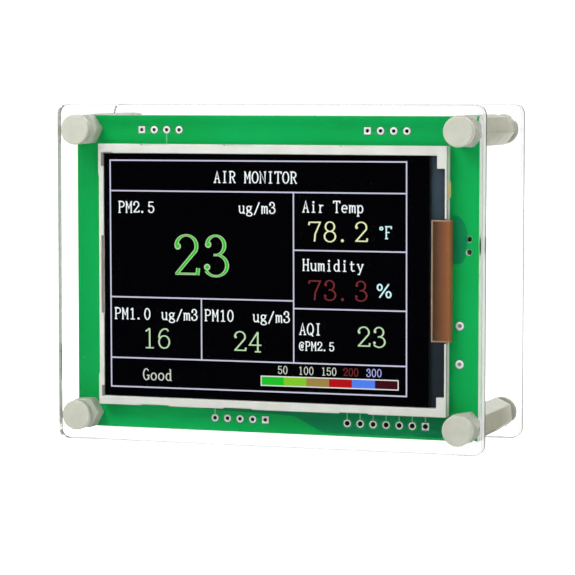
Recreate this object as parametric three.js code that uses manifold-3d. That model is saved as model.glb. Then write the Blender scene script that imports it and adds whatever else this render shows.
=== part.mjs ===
// Desktop air quality monitor: a green main board with a landscape colour display, held between
// two clear acrylic plates by nylon screws, spacers and standoffs. The board's back carries a laser
// particle sensor with a small fan, a temperature and humidity sensor, a battery, a charging socket
// and a side push button.
//
// Millimetres. +X right, +Y to the back, +Z up. The display faces -Y. The origin is the bottom
// centre of the whole object: plate edges at Z = 0, half of the total depth at Y = 0.

import * as THREE from 'three';
import { mergeVertices } from 'three/addons/utils/BufferGeometryUtils.js';
import Module from 'manifold-3d';

const wasm = await Module();
wasm.setup();

// ---------------------------------------------------------------- driving dimensions

const PLATE = { width: 84, height: 64, thickness: 3, corner: 2 };
const BOARD = { width: 80, height: 60, thickness: 1.6 };
const SPACER_LENGTH = 3.2;
const STANDOFF_LENGTH = 20;
const HEX_RADIUS = 5.5 / Math.sqrt(3);
const SCREW = {
  headRadius: 2.85, headHeight: 1.6, rim: 0.5, shankRadius: 1.4, tip: 0.4, holeRadius: 1.6, boreRadius: 1.5,
};
const FRONT_SCREW_LENGTH = 12;
const REAR_SCREW_LENGTH = 8;
const MOUNT_SPACING = { x: 75.5, z: 54.5 };

const HEADER_PITCH = 2.54;
const DRILL_RADIUS = 0.45;
const PEG = { radius: 0.35, holeRadius: 0.45, x: 38.1, spacing: 2.4 };

// The display's edges run from the middle of its lit area, which sits off the board's centre.
const DISPLAY = {
  left: -34.4, right: 34.7, height: 49.9, depth: 2.4, offsetX: -0.1, offsetZ: -0.4, gap: 0.3,
};
const DISPLAY_RAIL = { left: 1.1, top: 1.75, bottom: 1.65, right: 0.35 };
const RAIL_NOTCHES = { starts: [-25.8, -9, 14], length: 5.8, rise: 0.25, depth: 1.4 };
const UPPER_GLASS_RIGHT = 31.55;
const LEDGE_RIGHT = 34.2;

const SENSOR = { x0: -33, x1: 5, z0: 21, z1: 56, depth: 12, wall: 1, pad: 0.6 };
const FAN = { x: -21.8, z: 45, side: 20, depth: 7, ductRadius: 9, rotorRadius: 8.4, hubRadius: 4 };
const FAN_BLADES = 7;
const AXLE_RADIUS = 0.5;

const BATTERY = { x0: 10.5, x1: 33.5, z0: 20, z1: 54, thickness: 5.5, pad: 0.5 };
const CABLE_X = -2;
const BUTTON_Z = 38.2;
const BUTTON_TRAVEL = 0.25;

// Gaps: between seated faces, at the ends of wires, and round parts that fit loosely.
const SEAT = 0.02;
const WIRE_GAP = 0.05;
const CLEAR = 0.3;

// ---------------------------------------------------------------- places worked out from them

const MID_Z = PLATE.height / 2;
const HALF_DEPTH = SCREW.headHeight + PLATE.thickness
  + (SPACER_LENGTH + BOARD.thickness + STANDOFF_LENGTH) / 2;
const Y = {};
Y.frontFace = -HALF_DEPTH + SCREW.headHeight;
Y.frontBack = Y.frontFace + PLATE.thickness;
Y.boardFront = Y.frontBack + SPACER_LENGTH;
Y.boardBack = Y.boardFront + BOARD.thickness;
Y.rearFace = Y.boardBack + STANDOFF_LENGTH;
Y.rearBack = Y.rearFace + PLATE.thickness;

const CORNERS = [
  { id: 1, x: -1, z: 1, spacerTurn: 4, standoffTurn: 12 },
  { id: 2, x: 1, z: 1, spacerTurn: 54, standoffTurn: 53 },
  { id: 3, x: 1, z: -1, spacerTurn: 9, standoffTurn: 35 },
  { id: 4, x: -1, z: -1, spacerTurn: 2, standoffTurn: 20 },
].map((corner) => ({
  ...corner,
  x: corner.x * MOUNT_SPACING.x / 2,
  z: MID_Z + corner.z * MOUNT_SPACING.z / 2,
}));

// Rows of plated holes along the top and bottom edges: first hole, number of holes.
const HOLE_ROWS = [
  { x: -26.6, z: MID_Z + 27.2, count: 4 },
  { x: 18.5, z: MID_Z + 27.2, count: 4 },
  { x: -11.8, z: MID_Z - 27.5, count: 5 },
  { x: 14.65, z: MID_Z - 27.5, count: 7 },
];
const WIRE_PADS = [{ x: 36.4, z: MID_Z - 8.6 }, { x: 36.4, z: MID_Z - 15.7 }];

// ---------------------------------------------------------------- materials

const finish = (color, roughness, metalness = 0) =>
  new THREE.MeshStandardMaterial({ color, roughness, metalness });

const MATERIAL = {
  acrylic: new THREE.MeshStandardMaterial({
    color: 0xeef4f4, roughness: 0.05, metalness: 0, transparent: true, opacity: 0.3,
  }),
  nylon: finish(0xd2d0c2, 0.5),
  board: finish(0x0aa052, 0.35),
  frame: finish(0xe0dfd6, 0.45),
  glass: finish(0x0a0c10, 0.1),
  ledge: finish(0x2a323c, 0.15),
  polariser: finish(0x050507, 0.12),
  silicon: finish(0x1c1f24, 0.25),
  flex: finish(0x8a5228, 0.4),
  tab: finish(0xc79b62, 0.5),
  lightGuide: finish(0xf2f4f4, 0.1),
  foam: finish(0xe8e6de, 0.9),
  casePlastic: finish(0x9fb3c4, 0.5),
  steel: finish(0xb9bcc0, 0.3, 1),
  blackPlastic: finish(0x17181a, 0.5),
  whitePlastic: finish(0xf0eee6, 0.5),
  brass: finish(0xc8a04a, 0.3, 1),
  pouch: finish(0xb4b8bc, 0.35, 0.9),
  tape: finish(0xc98a1e, 0.4),
  redWire: finish(0xb8161a, 0.5),
  blackWire: finish(0x111113, 0.5),
  ferrite: finish(0x3a3c40, 0.7),
};

// ---------------------------------------------------------------- solids

// Closed, outward-facing solid from a three.js geometry.
function toSolid(geometry) {
  const source = geometry.clone();
  source.deleteAttribute('normal');
  source.deleteAttribute('uv');
  const merged = mergeVertices(source, 1e-5);
  const corners = merged.index.array;
  const triangles = [];
  for (let i = 0; i < corners.length; i += 3) {
    const [a, b, c] = corners.slice(i, i + 3);
    if (a !== b && b !== c && c !== a) triangles.push(a, b, c);
  }
  return new wasm.Manifold(new wasm.Mesh({
    numProp: 3,
    vertProperties: new Float32Array(merged.attributes.position.array),
    triVerts: new Uint32Array(triangles),
  }));
}

function toGeometry(solid) {
  const mesh = solid.getMesh();
  const geometry = new THREE.BufferGeometry();
  geometry.setAttribute('position', new THREE.BufferAttribute(mesh.vertProperties, mesh.numProp));
  geometry.setIndex(new THREE.BufferAttribute(mesh.triVerts, 1));
  const flat = geometry.toNonIndexed();
  flat.computeVertexNormals();
  return flat;
}

// Box between two corners.
function block(x0, x1, y0, y1, z0, z1) {
  const geometry = new THREE.BoxGeometry(x1 - x0, y1 - y0, z1 - z0);
  geometry.translate((x0 + x1) / 2, (y0 + y1) / 2, (z0 + z1) / 2);
  return toSolid(geometry);
}

// Outline in X and Z, made solid from y0 back to y1.
function slab(shape, y0, y1, curveSegments = 6) {
  const geometry = new THREE.ExtrudeGeometry(shape, {
    depth: y1 - y0, bevelEnabled: false, curveSegments,
  });
  geometry.rotateX(Math.PI / 2);
  geometry.translate(0, y1, 0);
  return toSolid(geometry);
}

// Round bar along Y.
function rod(x, z, radius, y0, y1, segments = 16) {
  const geometry = new THREE.CylinderGeometry(radius, radius, y1 - y0, segments);
  geometry.translate(x, (y0 + y1) / 2, z);
  return toSolid(geometry);
}

// Body of revolution about an axis along Y, from [radius, y] pairs in rising y.
function turned(x, z, profile, segments = 20) {
  const points = profile.map(([radius, y]) => new THREE.Vector2(radius, y));
  const geometry = new THREE.LatheGeometry(points, segments);
  geometry.translate(x, 0, z);
  return toSolid(geometry);
}

// Cross-section swept along a smooth curve through the given points.
function swept(shape, points, steps) {
  const path = new THREE.CatmullRomCurve3(points.map((p) => new THREE.Vector3(...p)));
  return toSolid(new THREE.ExtrudeGeometry(shape, { steps, bevelEnabled: false, extrudePath: path }));
}

const joinAll = (first, ...rest) => rest.reduce((whole, piece) => whole.add(piece), first);
const cutAll = (first, ...rest) => rest.reduce((whole, piece) => whole.subtract(piece), first);

function circle(radius, sides) {
  const shape = new THREE.Shape();
  for (let i = 0; i < sides; i += 1) {
    const angle = 2 * Math.PI * i / sides;
    const x = radius * Math.cos(angle);
    const y = radius * Math.sin(angle);
    if (i === 0) shape.moveTo(x, y);
    else shape.lineTo(x, y);
  }
  shape.closePath();
  return shape;
}

function rounded(x0, x1, z0, z1, r) {
  const shape = new THREE.Shape();
  shape.moveTo(x0 + r, z0);
  shape.lineTo(x1 - r, z0);
  shape.absarc(x1 - r, z0 + r, r, -Math.PI / 2, 0);
  shape.lineTo(x1, z1 - r);
  shape.absarc(x1 - r, z1 - r, r, 0, Math.PI / 2);
  shape.lineTo(x0 + r, z1);
  shape.absarc(x0 + r, z1 - r, r, Math.PI / 2, Math.PI);
  shape.lineTo(x0, z0 + r);
  shape.absarc(x0 + r, z0 + r, r, Math.PI, Math.PI * 1.5);
  return shape;
}

// ---------------------------------------------------------------- the assembly

const monitor = new THREE.Group();

function place(name, solid, material) {
  const mesh = new THREE.Mesh(toGeometry(solid), material);
  mesh.name = name;
  monitor.add(mesh);
}

// ---------------------------------------------------------------- plates, board, fasteners

function cornerHoles(y0, y1) {
  return CORNERS.map(({ x, z }) => rod(x, z, SCREW.holeRadius, y0 - 1, y1 + 1, 24));
}

function clearPlate(y0) {
  const y1 = y0 + PLATE.thickness;
  const half = PLATE.width / 2;
  const outline = rounded(-half, half, 0, PLATE.height, PLATE.corner);
  return cutAll(slab(outline, y0, y1, 8), ...cornerHoles(y0, y1));
}

function mainBoard() {
  const half = { x: BOARD.width / 2, z: BOARD.height / 2 };
  const body = block(-half.x, half.x, Y.boardFront, Y.boardBack, MID_Z - half.z, MID_Z + half.z);
  const drill = (x, z, radius) => rod(x, z, radius, Y.boardFront - 1, Y.boardBack + 1, 12);
  const holes = cornerHoles(Y.boardFront, Y.boardBack);
  for (const row of HOLE_ROWS) {
    for (let i = 0; i < row.count; i += 1) {
      holes.push(drill(row.x + i * HEADER_PITCH, row.z, DRILL_RADIUS));
    }
  }
  for (const pad of WIRE_PADS) holes.push(drill(pad.x, pad.z, DRILL_RADIUS));
  for (const side of [-1, 1]) {
    holes.push(drill(PEG.x, BUTTON_Z + side * PEG.spacing / 2, PEG.holeRadius));
  }
  return cutAll(body, ...holes);
}

// Pan-head nylon screw. A front screw's head points to -Y, a rear screw's head to +Y.
function screw(x, z, seatY, length, headDirection) {
  const { headRadius, headHeight, rim, shankRadius, tip } = SCREW;
  const outline = [
    [0, -headHeight],
    [headRadius - rim, -headHeight],
    [headRadius - rim * 0.3, -headHeight + rim * 0.3],
    [headRadius, -headHeight + rim],
    [headRadius, 0],
    [shankRadius, 0],
    [shankRadius, length - tip],
    [shankRadius - tip, length],
    [0, length],
  ];
  const profile = outline.map(([radius, y]) => [radius, seatY - headDirection * y]);
  if (headDirection > 0) profile.reverse();
  return turned(x, z, profile, 24);
}

function hexBar(x, z, y0, y1, turn, boreRadius) {
  const hex = circle(HEX_RADIUS, 6);
  hex.holes.push(new THREE.Path(circle(boreRadius, 20).getPoints().reverse()));
  const geometry = new THREE.ExtrudeGeometry(hex, { depth: y1 - y0, bevelEnabled: false });
  geometry.rotateZ(turn * Math.PI / 180);
  geometry.rotateX(Math.PI / 2);
  geometry.translate(x, y1, z);
  return toSolid(geometry);
}

function addShell() {
  place('front_plate', clearPlate(Y.frontFace), MATERIAL.acrylic);
  place('rear_plate', clearPlate(Y.rearFace), MATERIAL.acrylic);
  place('main_board', mainBoard(), MATERIAL.board);
}

function addFasteners() {
  for (const { id, x, z, spacerTurn, standoffTurn } of CORNERS) {
    const bar = (y0, y1, turn, radius) => hexBar(x, z, y0 + SEAT, y1 - SEAT, turn, radius);
    const frontScrew = screw(x, z, Y.frontFace - SEAT, FRONT_SCREW_LENGTH, -1);
    const spacer = bar(Y.frontBack, Y.boardFront, spacerTurn, SCREW.holeRadius);
    const standoff = bar(Y.boardBack, Y.rearFace, standoffTurn, SCREW.boreRadius);
    const rearScrew = screw(x, z, Y.rearBack + SEAT, REAR_SCREW_LENGTH, 1);
    place(`front_screw_${id}`, frontScrew, MATERIAL.nylon);
    place(`front_spacer_${id}`, spacer, MATERIAL.nylon);
    place(`standoff_${id}`, standoff, MATERIAL.nylon);
    place(`rear_screw_${id}`, rearScrew, MATERIAL.nylon);
  }
}

// ---------------------------------------------------------------- display

// Display sizes run from the middle of its lit area; these give places in the whole object.
const displayX = (x) => DISPLAY.offsetX + x;
const displayZ = (z) => MID_Z + DISPLAY.offsetZ + z;
const displayBlock = (x0, x1, y0, y1, z0, z1) =>
  block(displayX(x0), displayX(x1), y0, y1, displayZ(z0), displayZ(z1));

const LCD_FRONT = Y.frontBack + DISPLAY.gap;
const LCD_BACK = LCD_FRONT + DISPLAY.depth;
const LCD = {
  left: DISPLAY.left,
  right: DISPLAY.right,
  low: -DISPLAY.height / 2,
  high: DISPLAY.height / 2,
};
const WINDOW = {
  left: LCD.left + DISPLAY_RAIL.left,
  right: LCD.right - DISPLAY_RAIL.right,
  low: LCD.low + DISPLAY_RAIL.bottom,
  high: LCD.high - DISPLAY_RAIL.top,
};
const PANE = { recess: 0.25, film: 0.15, glass: 0.5, guide: 0.5, guideGap: 0.1, edgeGap: 0.1 };
const stacked = (front, thickness) => [front, front + thickness];
const LAYER = {};
LAYER.polariser = stacked(LCD_FRONT + PANE.recess, PANE.film);
LAYER.upperGlass = stacked(LAYER.polariser[1] + SEAT, PANE.glass);
LAYER.lowerGlass = stacked(LAYER.upperGlass[1] + SEAT, PANE.glass);
LAYER.lightGuide = stacked(LAYER.lowerGlass[1] + PANE.guideGap, PANE.guide);

const FLEX = { z0: -11.1, z1: 11.4, thickness: 0.12, bend: 0.5, startX: 31.7, outerX: 35.3, endX: 12 };
const TAB = { z0: 15.5, z1: 18.4 };
const LEDGE = { low: -21.3, high: 20.8 };
const TAB_EDGE = 32.85;

function displayFrame() {
  const shell = displayBlock(LCD.left, LCD.right, LCD_FRONT, LCD_BACK, LCD.low, LCD.high);
  const floor = LAYER.lightGuide[1] + SEAT;
  const { left, right, low, high } = WINDOW;
  const pocket = displayBlock(left, right, LAYER.lowerGlass[0] - SEAT, floor, low, high);
  const mouth = (x0, x1, z0, z1) =>
    displayBlock(x0, x1, LCD_FRONT - 1, LAYER.lowerGlass[0] + 0.1, z0, z1);
  const mouthLeft = mouth(left, TAB_EDGE, low, high);
  const mouthRight = mouth(TAB_EDGE - 1, right, LEDGE.low, LEDGE.high);
  const flexNotch = displayBlock(
    right - 1, LCD.right + 1, LCD_FRONT - 1, LCD_FRONT + 0.9, FLEX.z0 - 0.2, FLEX.z1 + 0.2,
  );
  const sideSlot = displayBlock(
    right - 1, LCD.right + 1, LCD_FRONT + 0.6, LCD_BACK - 0.6, LEDGE.low + 0.6, TAB.z0 - 0.4,
  );
  const { starts, length, rise, depth } = RAIL_NOTCHES;
  const notch = (x, z0, z1) => displayBlock(x, x + length, LCD_FRONT - 1, LCD_FRONT + depth, z0, z1);
  const notches = starts.flatMap((x) => [
    notch(x, LCD.low - 1, LCD.low + rise),
    notch(x, LCD.high - rise, LCD.high + 1),
  ]);
  return cutAll(shell, pocket, mouthLeft, mouthRight, flexNotch, sideSlot, ...notches);
}

// Flexible circuit: bonded on the glass ledge, round the frame's side, then under the display.
function displayFlex() {
  const { thickness: t, bend, startX, outerX, endX } = FLEX;
  const bonded = LAYER.lowerGlass[0] - SEAT - 0.3;
  const under = (LCD_BACK + Y.boardFront) / 2 + t / 2;
  const turnX = outerX - bend;
  const frontTurn = bonded - t + bend;
  const backTurn = under - bend;
  const outline = new THREE.Shape();
  outline.moveTo(startX, bonded - t);
  outline.lineTo(turnX, bonded - t);
  outline.absarc(turnX, frontTurn, bend, -Math.PI / 2, 0);
  outline.lineTo(outerX, backTurn);
  outline.absarc(turnX, backTurn, bend, 0, Math.PI / 2);
  outline.lineTo(endX, under);
  outline.lineTo(endX, under - t);
  outline.lineTo(turnX, under - t);
  outline.absarc(turnX, backTurn, bend - t, Math.PI / 2, 0, true);
  outline.lineTo(outerX - t, frontTurn);
  outline.absarc(turnX, frontTurn, bend - t, 0, -Math.PI / 2, true);
  outline.lineTo(startX, bonded);
  outline.closePath();
  const geometry = new THREE.ExtrudeGeometry(outline, {
    depth: FLEX.z1 - FLEX.z0, bevelEnabled: false, curveSegments: 5,
  });
  geometry.translate(displayX(0), 0, displayZ(FLEX.z0));
  return toSolid(geometry);
}

// Backlight connection: a small tab folded round the frame's side to the back.
function backlightTab() {
  const inner = LCD.right + SEAT;
  const outer = inner + 0.14;
  const y0 = LCD_FRONT + 0.45;
  const y1 = LCD_BACK + 0.3;
  const side = displayBlock(inner, outer, y0, y1, TAB.z0, TAB.z1);
  const foot = displayBlock(inner - 6, outer, y1 - 0.14, y1, TAB.z0, TAB.z1);
  return side.add(foot);
}

// Strip of backlight lamps facing the light guide's edge.
function lampStrip() {
  const [y0, y1] = LAYER.lightGuide;
  const strip = displayBlock(33.1, 33.9, y0, y1, -21, 21);
  const lamps = [-15, -5, 5, 15].map((z) => displayBlock(32.2, 33.2, y0, y1, z - 1.6, z + 1.6));
  return joinAll(strip, ...lamps);
}

// Adhesive foam under the display, with an opening for the folded flexible circuit.
function displayTape() {
  const y0 = LCD_BACK + SEAT;
  const y1 = Y.boardFront - SEAT;
  const sheet = displayBlock(-32, 33, y0, y1, -23, 23);
  const opening = displayBlock(8, 34, y0 - 1, y1 + 1, -13.5, 20);
  return sheet.subtract(opening);
}

function addDisplay() {
  const left = WINDOW.left + PANE.edgeGap;
  const low = WINDOW.low + PANE.edgeGap;
  const high = WINDOW.high - PANE.edgeGap;
  const pane = (right, [y0, y1]) => displayBlock(left, right, y0, y1, low, high);
  const chipFront = LAYER.lowerGlass[0] - SEAT - 0.28;
  const chip = displayBlock(32.3, 33.3, chipFront, LAYER.lowerGlass[0] - SEAT, -9, 9);
  place('display_frame', displayFrame(), MATERIAL.frame);
  place('display_polariser', pane(UPPER_GLASS_RIGHT - 0.25, LAYER.polariser), MATERIAL.polariser);
  place('display_upper_glass', pane(UPPER_GLASS_RIGHT, LAYER.upperGlass), MATERIAL.glass);
  place('display_lower_glass', pane(LEDGE_RIGHT, LAYER.lowerGlass), MATERIAL.ledge);
  place('display_light_guide', pane(31.9, LAYER.lightGuide), MATERIAL.lightGuide);
  place('display_lamp_strip', lampStrip(), MATERIAL.whitePlastic);
  place('display_driver_chip', chip, MATERIAL.silicon);
  place('display_flex', displayFlex(), MATERIAL.flex);
  place('display_backlight_tab', backlightTab(), MATERIAL.tab);
  place('display_tape', displayTape(), MATERIAL.foam);
}

// ---------------------------------------------------------------- laser particle sensor

const SENSOR_BOTTOM = Y.boardBack + SENSOR.pad;
const SENSOR_TOP = SENSOR_BOTTOM + SENSOR.depth;
const COVER_BOTTOM = SENSOR_TOP - SENSOR.wall;
const FLOOR = SENSOR_BOTTOM + SENSOR.wall;
const CIRCUIT = { z1: 34.4, y0: FLOOR + 0.4, thickness: 1 };
const PLUG = { width: 12, depth: 4, height: 4 };
const PLUG_Y = CIRCUIT.y0 + CIRCUIT.thickness + PLUG.depth / 2 + SEAT;

function sensorCase() {
  const { x0, x1, z0, z1, wall } = SENSOR;
  const tray = slab(rounded(x0, x1, z0, z1, 1.2), SENSOR_BOTTOM, COVER_BOTTOM - SEAT, 4);
  const hollow = block(x0 + wall, x1 - wall, FLOOR, COVER_BOTTOM + 1, z0 + wall, z1 - wall);
  const half = PLUG.width / 2 + CLEAR;
  const mouth = block(
    CABLE_X - half, CABLE_X + half,
    PLUG_Y - PLUG.depth / 2 - CLEAR, PLUG_Y + PLUG.depth / 2 + CLEAR, z0 - 1, z0 + wall + 1,
  );
  return cutAll(tray, hollow, mouth);
}

// Cover with the fan's round outlet, its guard bars, and a row of air inlet slots.
function sensorCover() {
  const { x0, x1, z0, z1 } = SENSOR;
  const lid = slab(rounded(x0, x1, z0, z1, 1.2), COVER_BOTTOM, SENSOR_TOP, 4);
  const outlet = rod(FAN.x, FAN.z, FAN.ductRadius - 0.2, COVER_BOTTOM - 1, SENSOR_TOP + 1, 32);
  const y0 = COVER_BOTTOM;
  const y1 = SENSOR_TOP - 0.2;
  const reach = FAN.ductRadius;
  const guard = [0, 60, 120].map((angle) => {
    const bar = new THREE.BoxGeometry(2 * reach, y1 - y0, 0.8);
    bar.rotateY(angle * Math.PI / 180);
    bar.translate(FAN.x, (y0 + y1) / 2, FAN.z);
    return toSolid(bar);
  });
  const boss = rod(FAN.x, FAN.z, 3.2, y0, y1, 24);
  const slots = [];
  for (let i = 0; i < 6; i += 1) {
    const x = -7.5 + i * 1.9;
    slots.push(block(x, x + 0.9, COVER_BOTTOM - 1, SENSOR_TOP + 1, 42, 52));
  }
  return joinAll(cutAll(lid, outlet, ...slots), boss, ...guard);
}

const FAN_BASE = COVER_BOTTOM - CLEAR - FAN.depth;

// Square duct with a bearing plate on three spokes at its inner end.
function fanHousing() {
  const half = FAN.side / 2;
  const y1 = FAN_BASE + FAN.depth;
  const outline = rounded(FAN.x - half, FAN.x + half, FAN.z - half, FAN.z + half, 1);
  const duct = slab(outline, FAN_BASE, y1, 4)
    .subtract(rod(FAN.x, FAN.z, FAN.ductRadius, FAN_BASE - 1, y1 + 1, 32));
  const plate = rod(FAN.x, FAN.z, FAN.hubRadius, FAN_BASE, FAN_BASE + 0.8, 24);
  const spokes = [30, 150, 270].map((angle) => {
    const bar = new THREE.BoxGeometry(FAN.ductRadius + 0.3, 0.8, 1.2);
    bar.translate((FAN.ductRadius + 0.3) / 2, 0, 0);
    bar.rotateY(angle * Math.PI / 180);
    bar.translate(FAN.x, FAN_BASE + 0.4, FAN.z);
    return toSolid(bar);
  });
  const bore = rod(FAN.x, FAN.z, AXLE_RADIUS + 0.02, FAN_BASE - 1, FAN_BASE + 2, 16);
  return joinAll(duct, plate, ...spokes).subtract(bore);
}

// Hub cup with pitched blades, turning on the axle.
function fanRotor() {
  const y0 = FAN_BASE + 1.3;
  const y1 = FAN_BASE + FAN.depth - 0.4;
  const hub = rod(FAN.x, FAN.z, FAN.hubRadius - 0.3, y0, y1, 24);
  const length = FAN.rotorRadius - FAN.hubRadius + 0.8;
  const blades = [];
  for (let i = 0; i < FAN_BLADES; i += 1) {
    const blade = new THREE.BoxGeometry(length, 0.45, 5.2);
    blade.rotateX(48 * Math.PI / 180);
    blade.translate(FAN.rotorRadius - length / 2, 0, 0);
    blade.rotateY(2 * Math.PI * i / FAN_BLADES);
    blade.translate(FAN.x, (y0 + y1) / 2, FAN.z);
    blades.push(toSolid(blade));
  }
  const bore = rod(FAN.x, FAN.z, AXLE_RADIUS + 0.05, y0 - 1, y1 - 1, 16);
  return joinAll(hub, ...blades).subtract(bore);
}

const LASER = { x: -7, z: 31.6, boreRadius: 2.35, canRadius: 2.25, flangeRadius: 2.8, lift: 3.5 };
const LASER_SEAT = CIRCUIT.y0 + CIRCUIT.thickness + SEAT;

// Round bar along X on the laser's axis.
function laserBar(radius, x0, x1) {
  const bar = new THREE.CylinderGeometry(radius, radius, x1 - x0, 20);
  bar.rotateZ(Math.PI / 2);
  bar.translate((x0 + x1) / 2, LASER_SEAT + LASER.lift, LASER.z);
  return toSolid(bar);
}

function laserHolder() {
  const { x, z, lift, boreRadius } = LASER;
  const body = block(x - 3.8, x + 3.8, LASER_SEAT, LASER_SEAT + 2 * lift, z - 3.4, z + 3.4);
  return body.subtract(laserBar(boreRadius, x - 10, x + 10));
}

function laserDiode() {
  const { x, canRadius, flangeRadius } = LASER;
  return laserBar(canRadius, x - 4.6, x + 2).add(laserBar(flangeRadius, x - 5.4, x - 4.5));
}

// Plug and socket pair of a small wire-to-board connector: an open box and the part inside it.
function sensorConnector() {
  const half = PLUG.width / 2;
  const y0 = PLUG_Y - PLUG.depth / 2;
  const y1 = PLUG_Y + PLUG.depth / 2;
  const z0 = SENSOR.z0 + SENSOR.wall + 0.2;
  const body = block(CABLE_X - half, CABLE_X + half, y0, y1, z0, z0 + 4.5);
  const mouth = block(CABLE_X - half + 0.6, CABLE_X + half - 0.6, y0 + 0.6, y1 - 0.6, z0 - 1, z0 + 3.6);
  const plug = block(
    CABLE_X - half + 0.9, CABLE_X + half - 0.9, y0 + 0.9, y1 - 0.9, z0 - 2.2, z0 + 3.2,
  );
  return { socket: body.subtract(mouth), plug };
}

// Upright connector on the main board: the plug enters from the back.
function boardConnector({ x, z, width, depth }) {
  const y0 = Y.boardBack + SEAT;
  const height = 4.6;
  const wall = 0.6;
  const top = y0 + height + 1.6;
  // Box of the connector's outline, drawn in by the given distance.
  const within = (inset, low, high) => block(
    x - width / 2 + inset, x + width / 2 - inset, low, high, z - depth / 2 + inset, z + depth / 2 - inset,
  );
  const socket = within(0, y0, y0 + height).subtract(within(wall, y0 + 0.8, y0 + height + 1));
  return { socket, plug: within(wall + CLEAR, y0 + 1.2, top), top };
}

const CABLE_SOCKET = { x: CABLE_X, z: 11.2, width: 12, depth: 4.4 };
const BATTERY_SOCKET = { x: 27, z: 11.5, width: 7, depth: 4.6 };

// Flat band of constant width about x, bent in the Y-Z plane along a smooth line through [y, z] points.
function band(x, width, thickness, points, steps) {
  const line = new THREE.SplineCurve(points.map(([y, z]) => new THREE.Vector2(y, z)));
  const front = [];
  const back = [];
  for (let i = 0; i <= steps; i += 1) {
    const point = line.getPointAt(i / steps);
    const along = line.getTangentAt(i / steps);
    const across = new THREE.Vector2(-along.y, along.x).multiplyScalar(thickness / 2);
    front.push(point.clone().add(across));
    back.unshift(point.clone().sub(across));
  }
  const shape = new THREE.Shape([...front, ...back]);
  const geometry = new THREE.ExtrudeGeometry(shape, { depth: width, bevelEnabled: false });
  // Shape X and Y become Y and Z, and the extrusion runs along X.
  const turn = new THREE.Matrix4().makeBasis(
    new THREE.Vector3(0, 1, 0), new THREE.Vector3(0, 0, 1), new THREE.Vector3(1, 0, 0),
  );
  geometry.applyMatrix4(turn);
  geometry.translate(x - width / 2, 0, 0);
  return toSolid(geometry);
}

// Flat ribbon from the sensor's plug over to the main board's plug.
function sensorCable(plugTop) {
  const startZ = SENSOR.z0 + SENSOR.wall + 0.2 - 2.2 - WIRE_GAP;
  return band(CABLE_X, PLUG.width - 2.6, 0.9, [
    [PLUG_Y, startZ],
    [PLUG_Y, startZ - 1.2],
    [PLUG_Y + 3, startZ - 4.2],
    [plugTop + 3.6, CABLE_SOCKET.z + 2.2],
    [plugTop + 1.8, CABLE_SOCKET.z],
    [plugTop + WIRE_GAP, CABLE_SOCKET.z],
  ], 16);
}

function addParticleSensor() {
  const { x0, x1, z0, z1, wall } = SENSOR;
  const pad = block(x0 + 3, x1 - 3, Y.boardBack + SEAT, SENSOR_BOTTOM - SEAT, z0 + 4, z1 - 4);
  const circuit = block(
    x0 + wall + CLEAR, x1 - wall - CLEAR, CIRCUIT.y0, CIRCUIT.y0 + CIRCUIT.thickness,
    z0 + wall + CLEAR, CIRCUIT.z1,
  );
  const axle = rod(FAN.x, FAN.z, AXLE_RADIUS, FAN_BASE, FAN_BASE + FAN.depth - 1.8, 16);
  const inlet = sensorConnector();
  const outlet = boardConnector(CABLE_SOCKET);
  place('sensor_pad', pad, MATERIAL.foam);
  place('sensor_case', sensorCase(), MATERIAL.casePlastic);
  place('sensor_cover', sensorCover(), MATERIAL.casePlastic);
  place('sensor_circuit', circuit, MATERIAL.board);
  place('fan_housing', fanHousing(), MATERIAL.blackPlastic);
  place('fan_axle', axle, MATERIAL.steel);
  place('fan_rotor', fanRotor(), MATERIAL.blackPlastic);
  place('laser_holder', laserHolder(), MATERIAL.blackPlastic);
  place('laser_diode', laserDiode(), MATERIAL.brass);
  place('sensor_socket', inlet.socket, MATERIAL.whitePlastic);
  place('sensor_plug', inlet.plug, MATERIAL.whitePlastic);
  place('sensor_cable', sensorCable(outlet.top), MATERIAL.blackWire);
  place('cable_plug', outlet.plug, MATERIAL.whitePlastic);
  place('cable_socket', outlet.socket, MATERIAL.whitePlastic);
}

// ---------------------------------------------------------------- battery

const CELL_Y = Y.boardBack + BATTERY.pad;

function batteryCell() {
  const { x0, x1, z0, z1, thickness } = BATTERY;
  return slab(rounded(x0, x1, z0 + 3.4, z1, 1.5), CELL_Y, CELL_Y + thickness, 4);
}

function batteryLead(offset, plugTop) {
  const startX = BATTERY_SOCKET.x + offset * 2.5 - 4;
  const endX = BATTERY_SOCKET.x + offset;
  const startY = CELL_Y + 3.1;
  return swept(circle(0.6, 8), [
    [startX, startY, BATTERY.z0 - WIRE_GAP],
    [startX, startY, BATTERY.z0 - 1.8],
    [(startX + endX) / 2, startY + 4, BATTERY.z0 - 5.2],
    [endX, plugTop + 2.2, BATTERY_SOCKET.z],
    [endX, plugTop + WIRE_GAP, BATTERY_SOCKET.z],
  ], 18);
}

function addBattery() {
  const { x0, x1, z0, z1, thickness } = BATTERY;
  const pad = block(x0 + 3, x1 - 3, Y.boardBack + SEAT, CELL_Y - SEAT, z0 + 7, z1 - 4);
  const circuit = block(x0 + 1, x1 - 1, CELL_Y + 0.6, CELL_Y + thickness - 1, z0, z0 + 3.4 - SEAT);
  const { socket, plug, top } = boardConnector(BATTERY_SOCKET);
  place('battery_pad', pad, MATERIAL.foam);
  place('battery_cell', batteryCell(), MATERIAL.pouch);
  place('battery_circuit', circuit, MATERIAL.tape);
  place('battery_lead_red', batteryLead(-1, top), MATERIAL.redWire);
  place('battery_lead_black', batteryLead(1, top), MATERIAL.blackWire);
  place('battery_plug', plug, MATERIAL.whitePlastic);
  place('battery_socket', socket, MATERIAL.whitePlastic);
}

// ---------------------------------------------------------------- temperature and humidity sensor

const CLIMATE = { width: 12.1, depth: 4.5, length: 15.1, lift: 1 };

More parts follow.
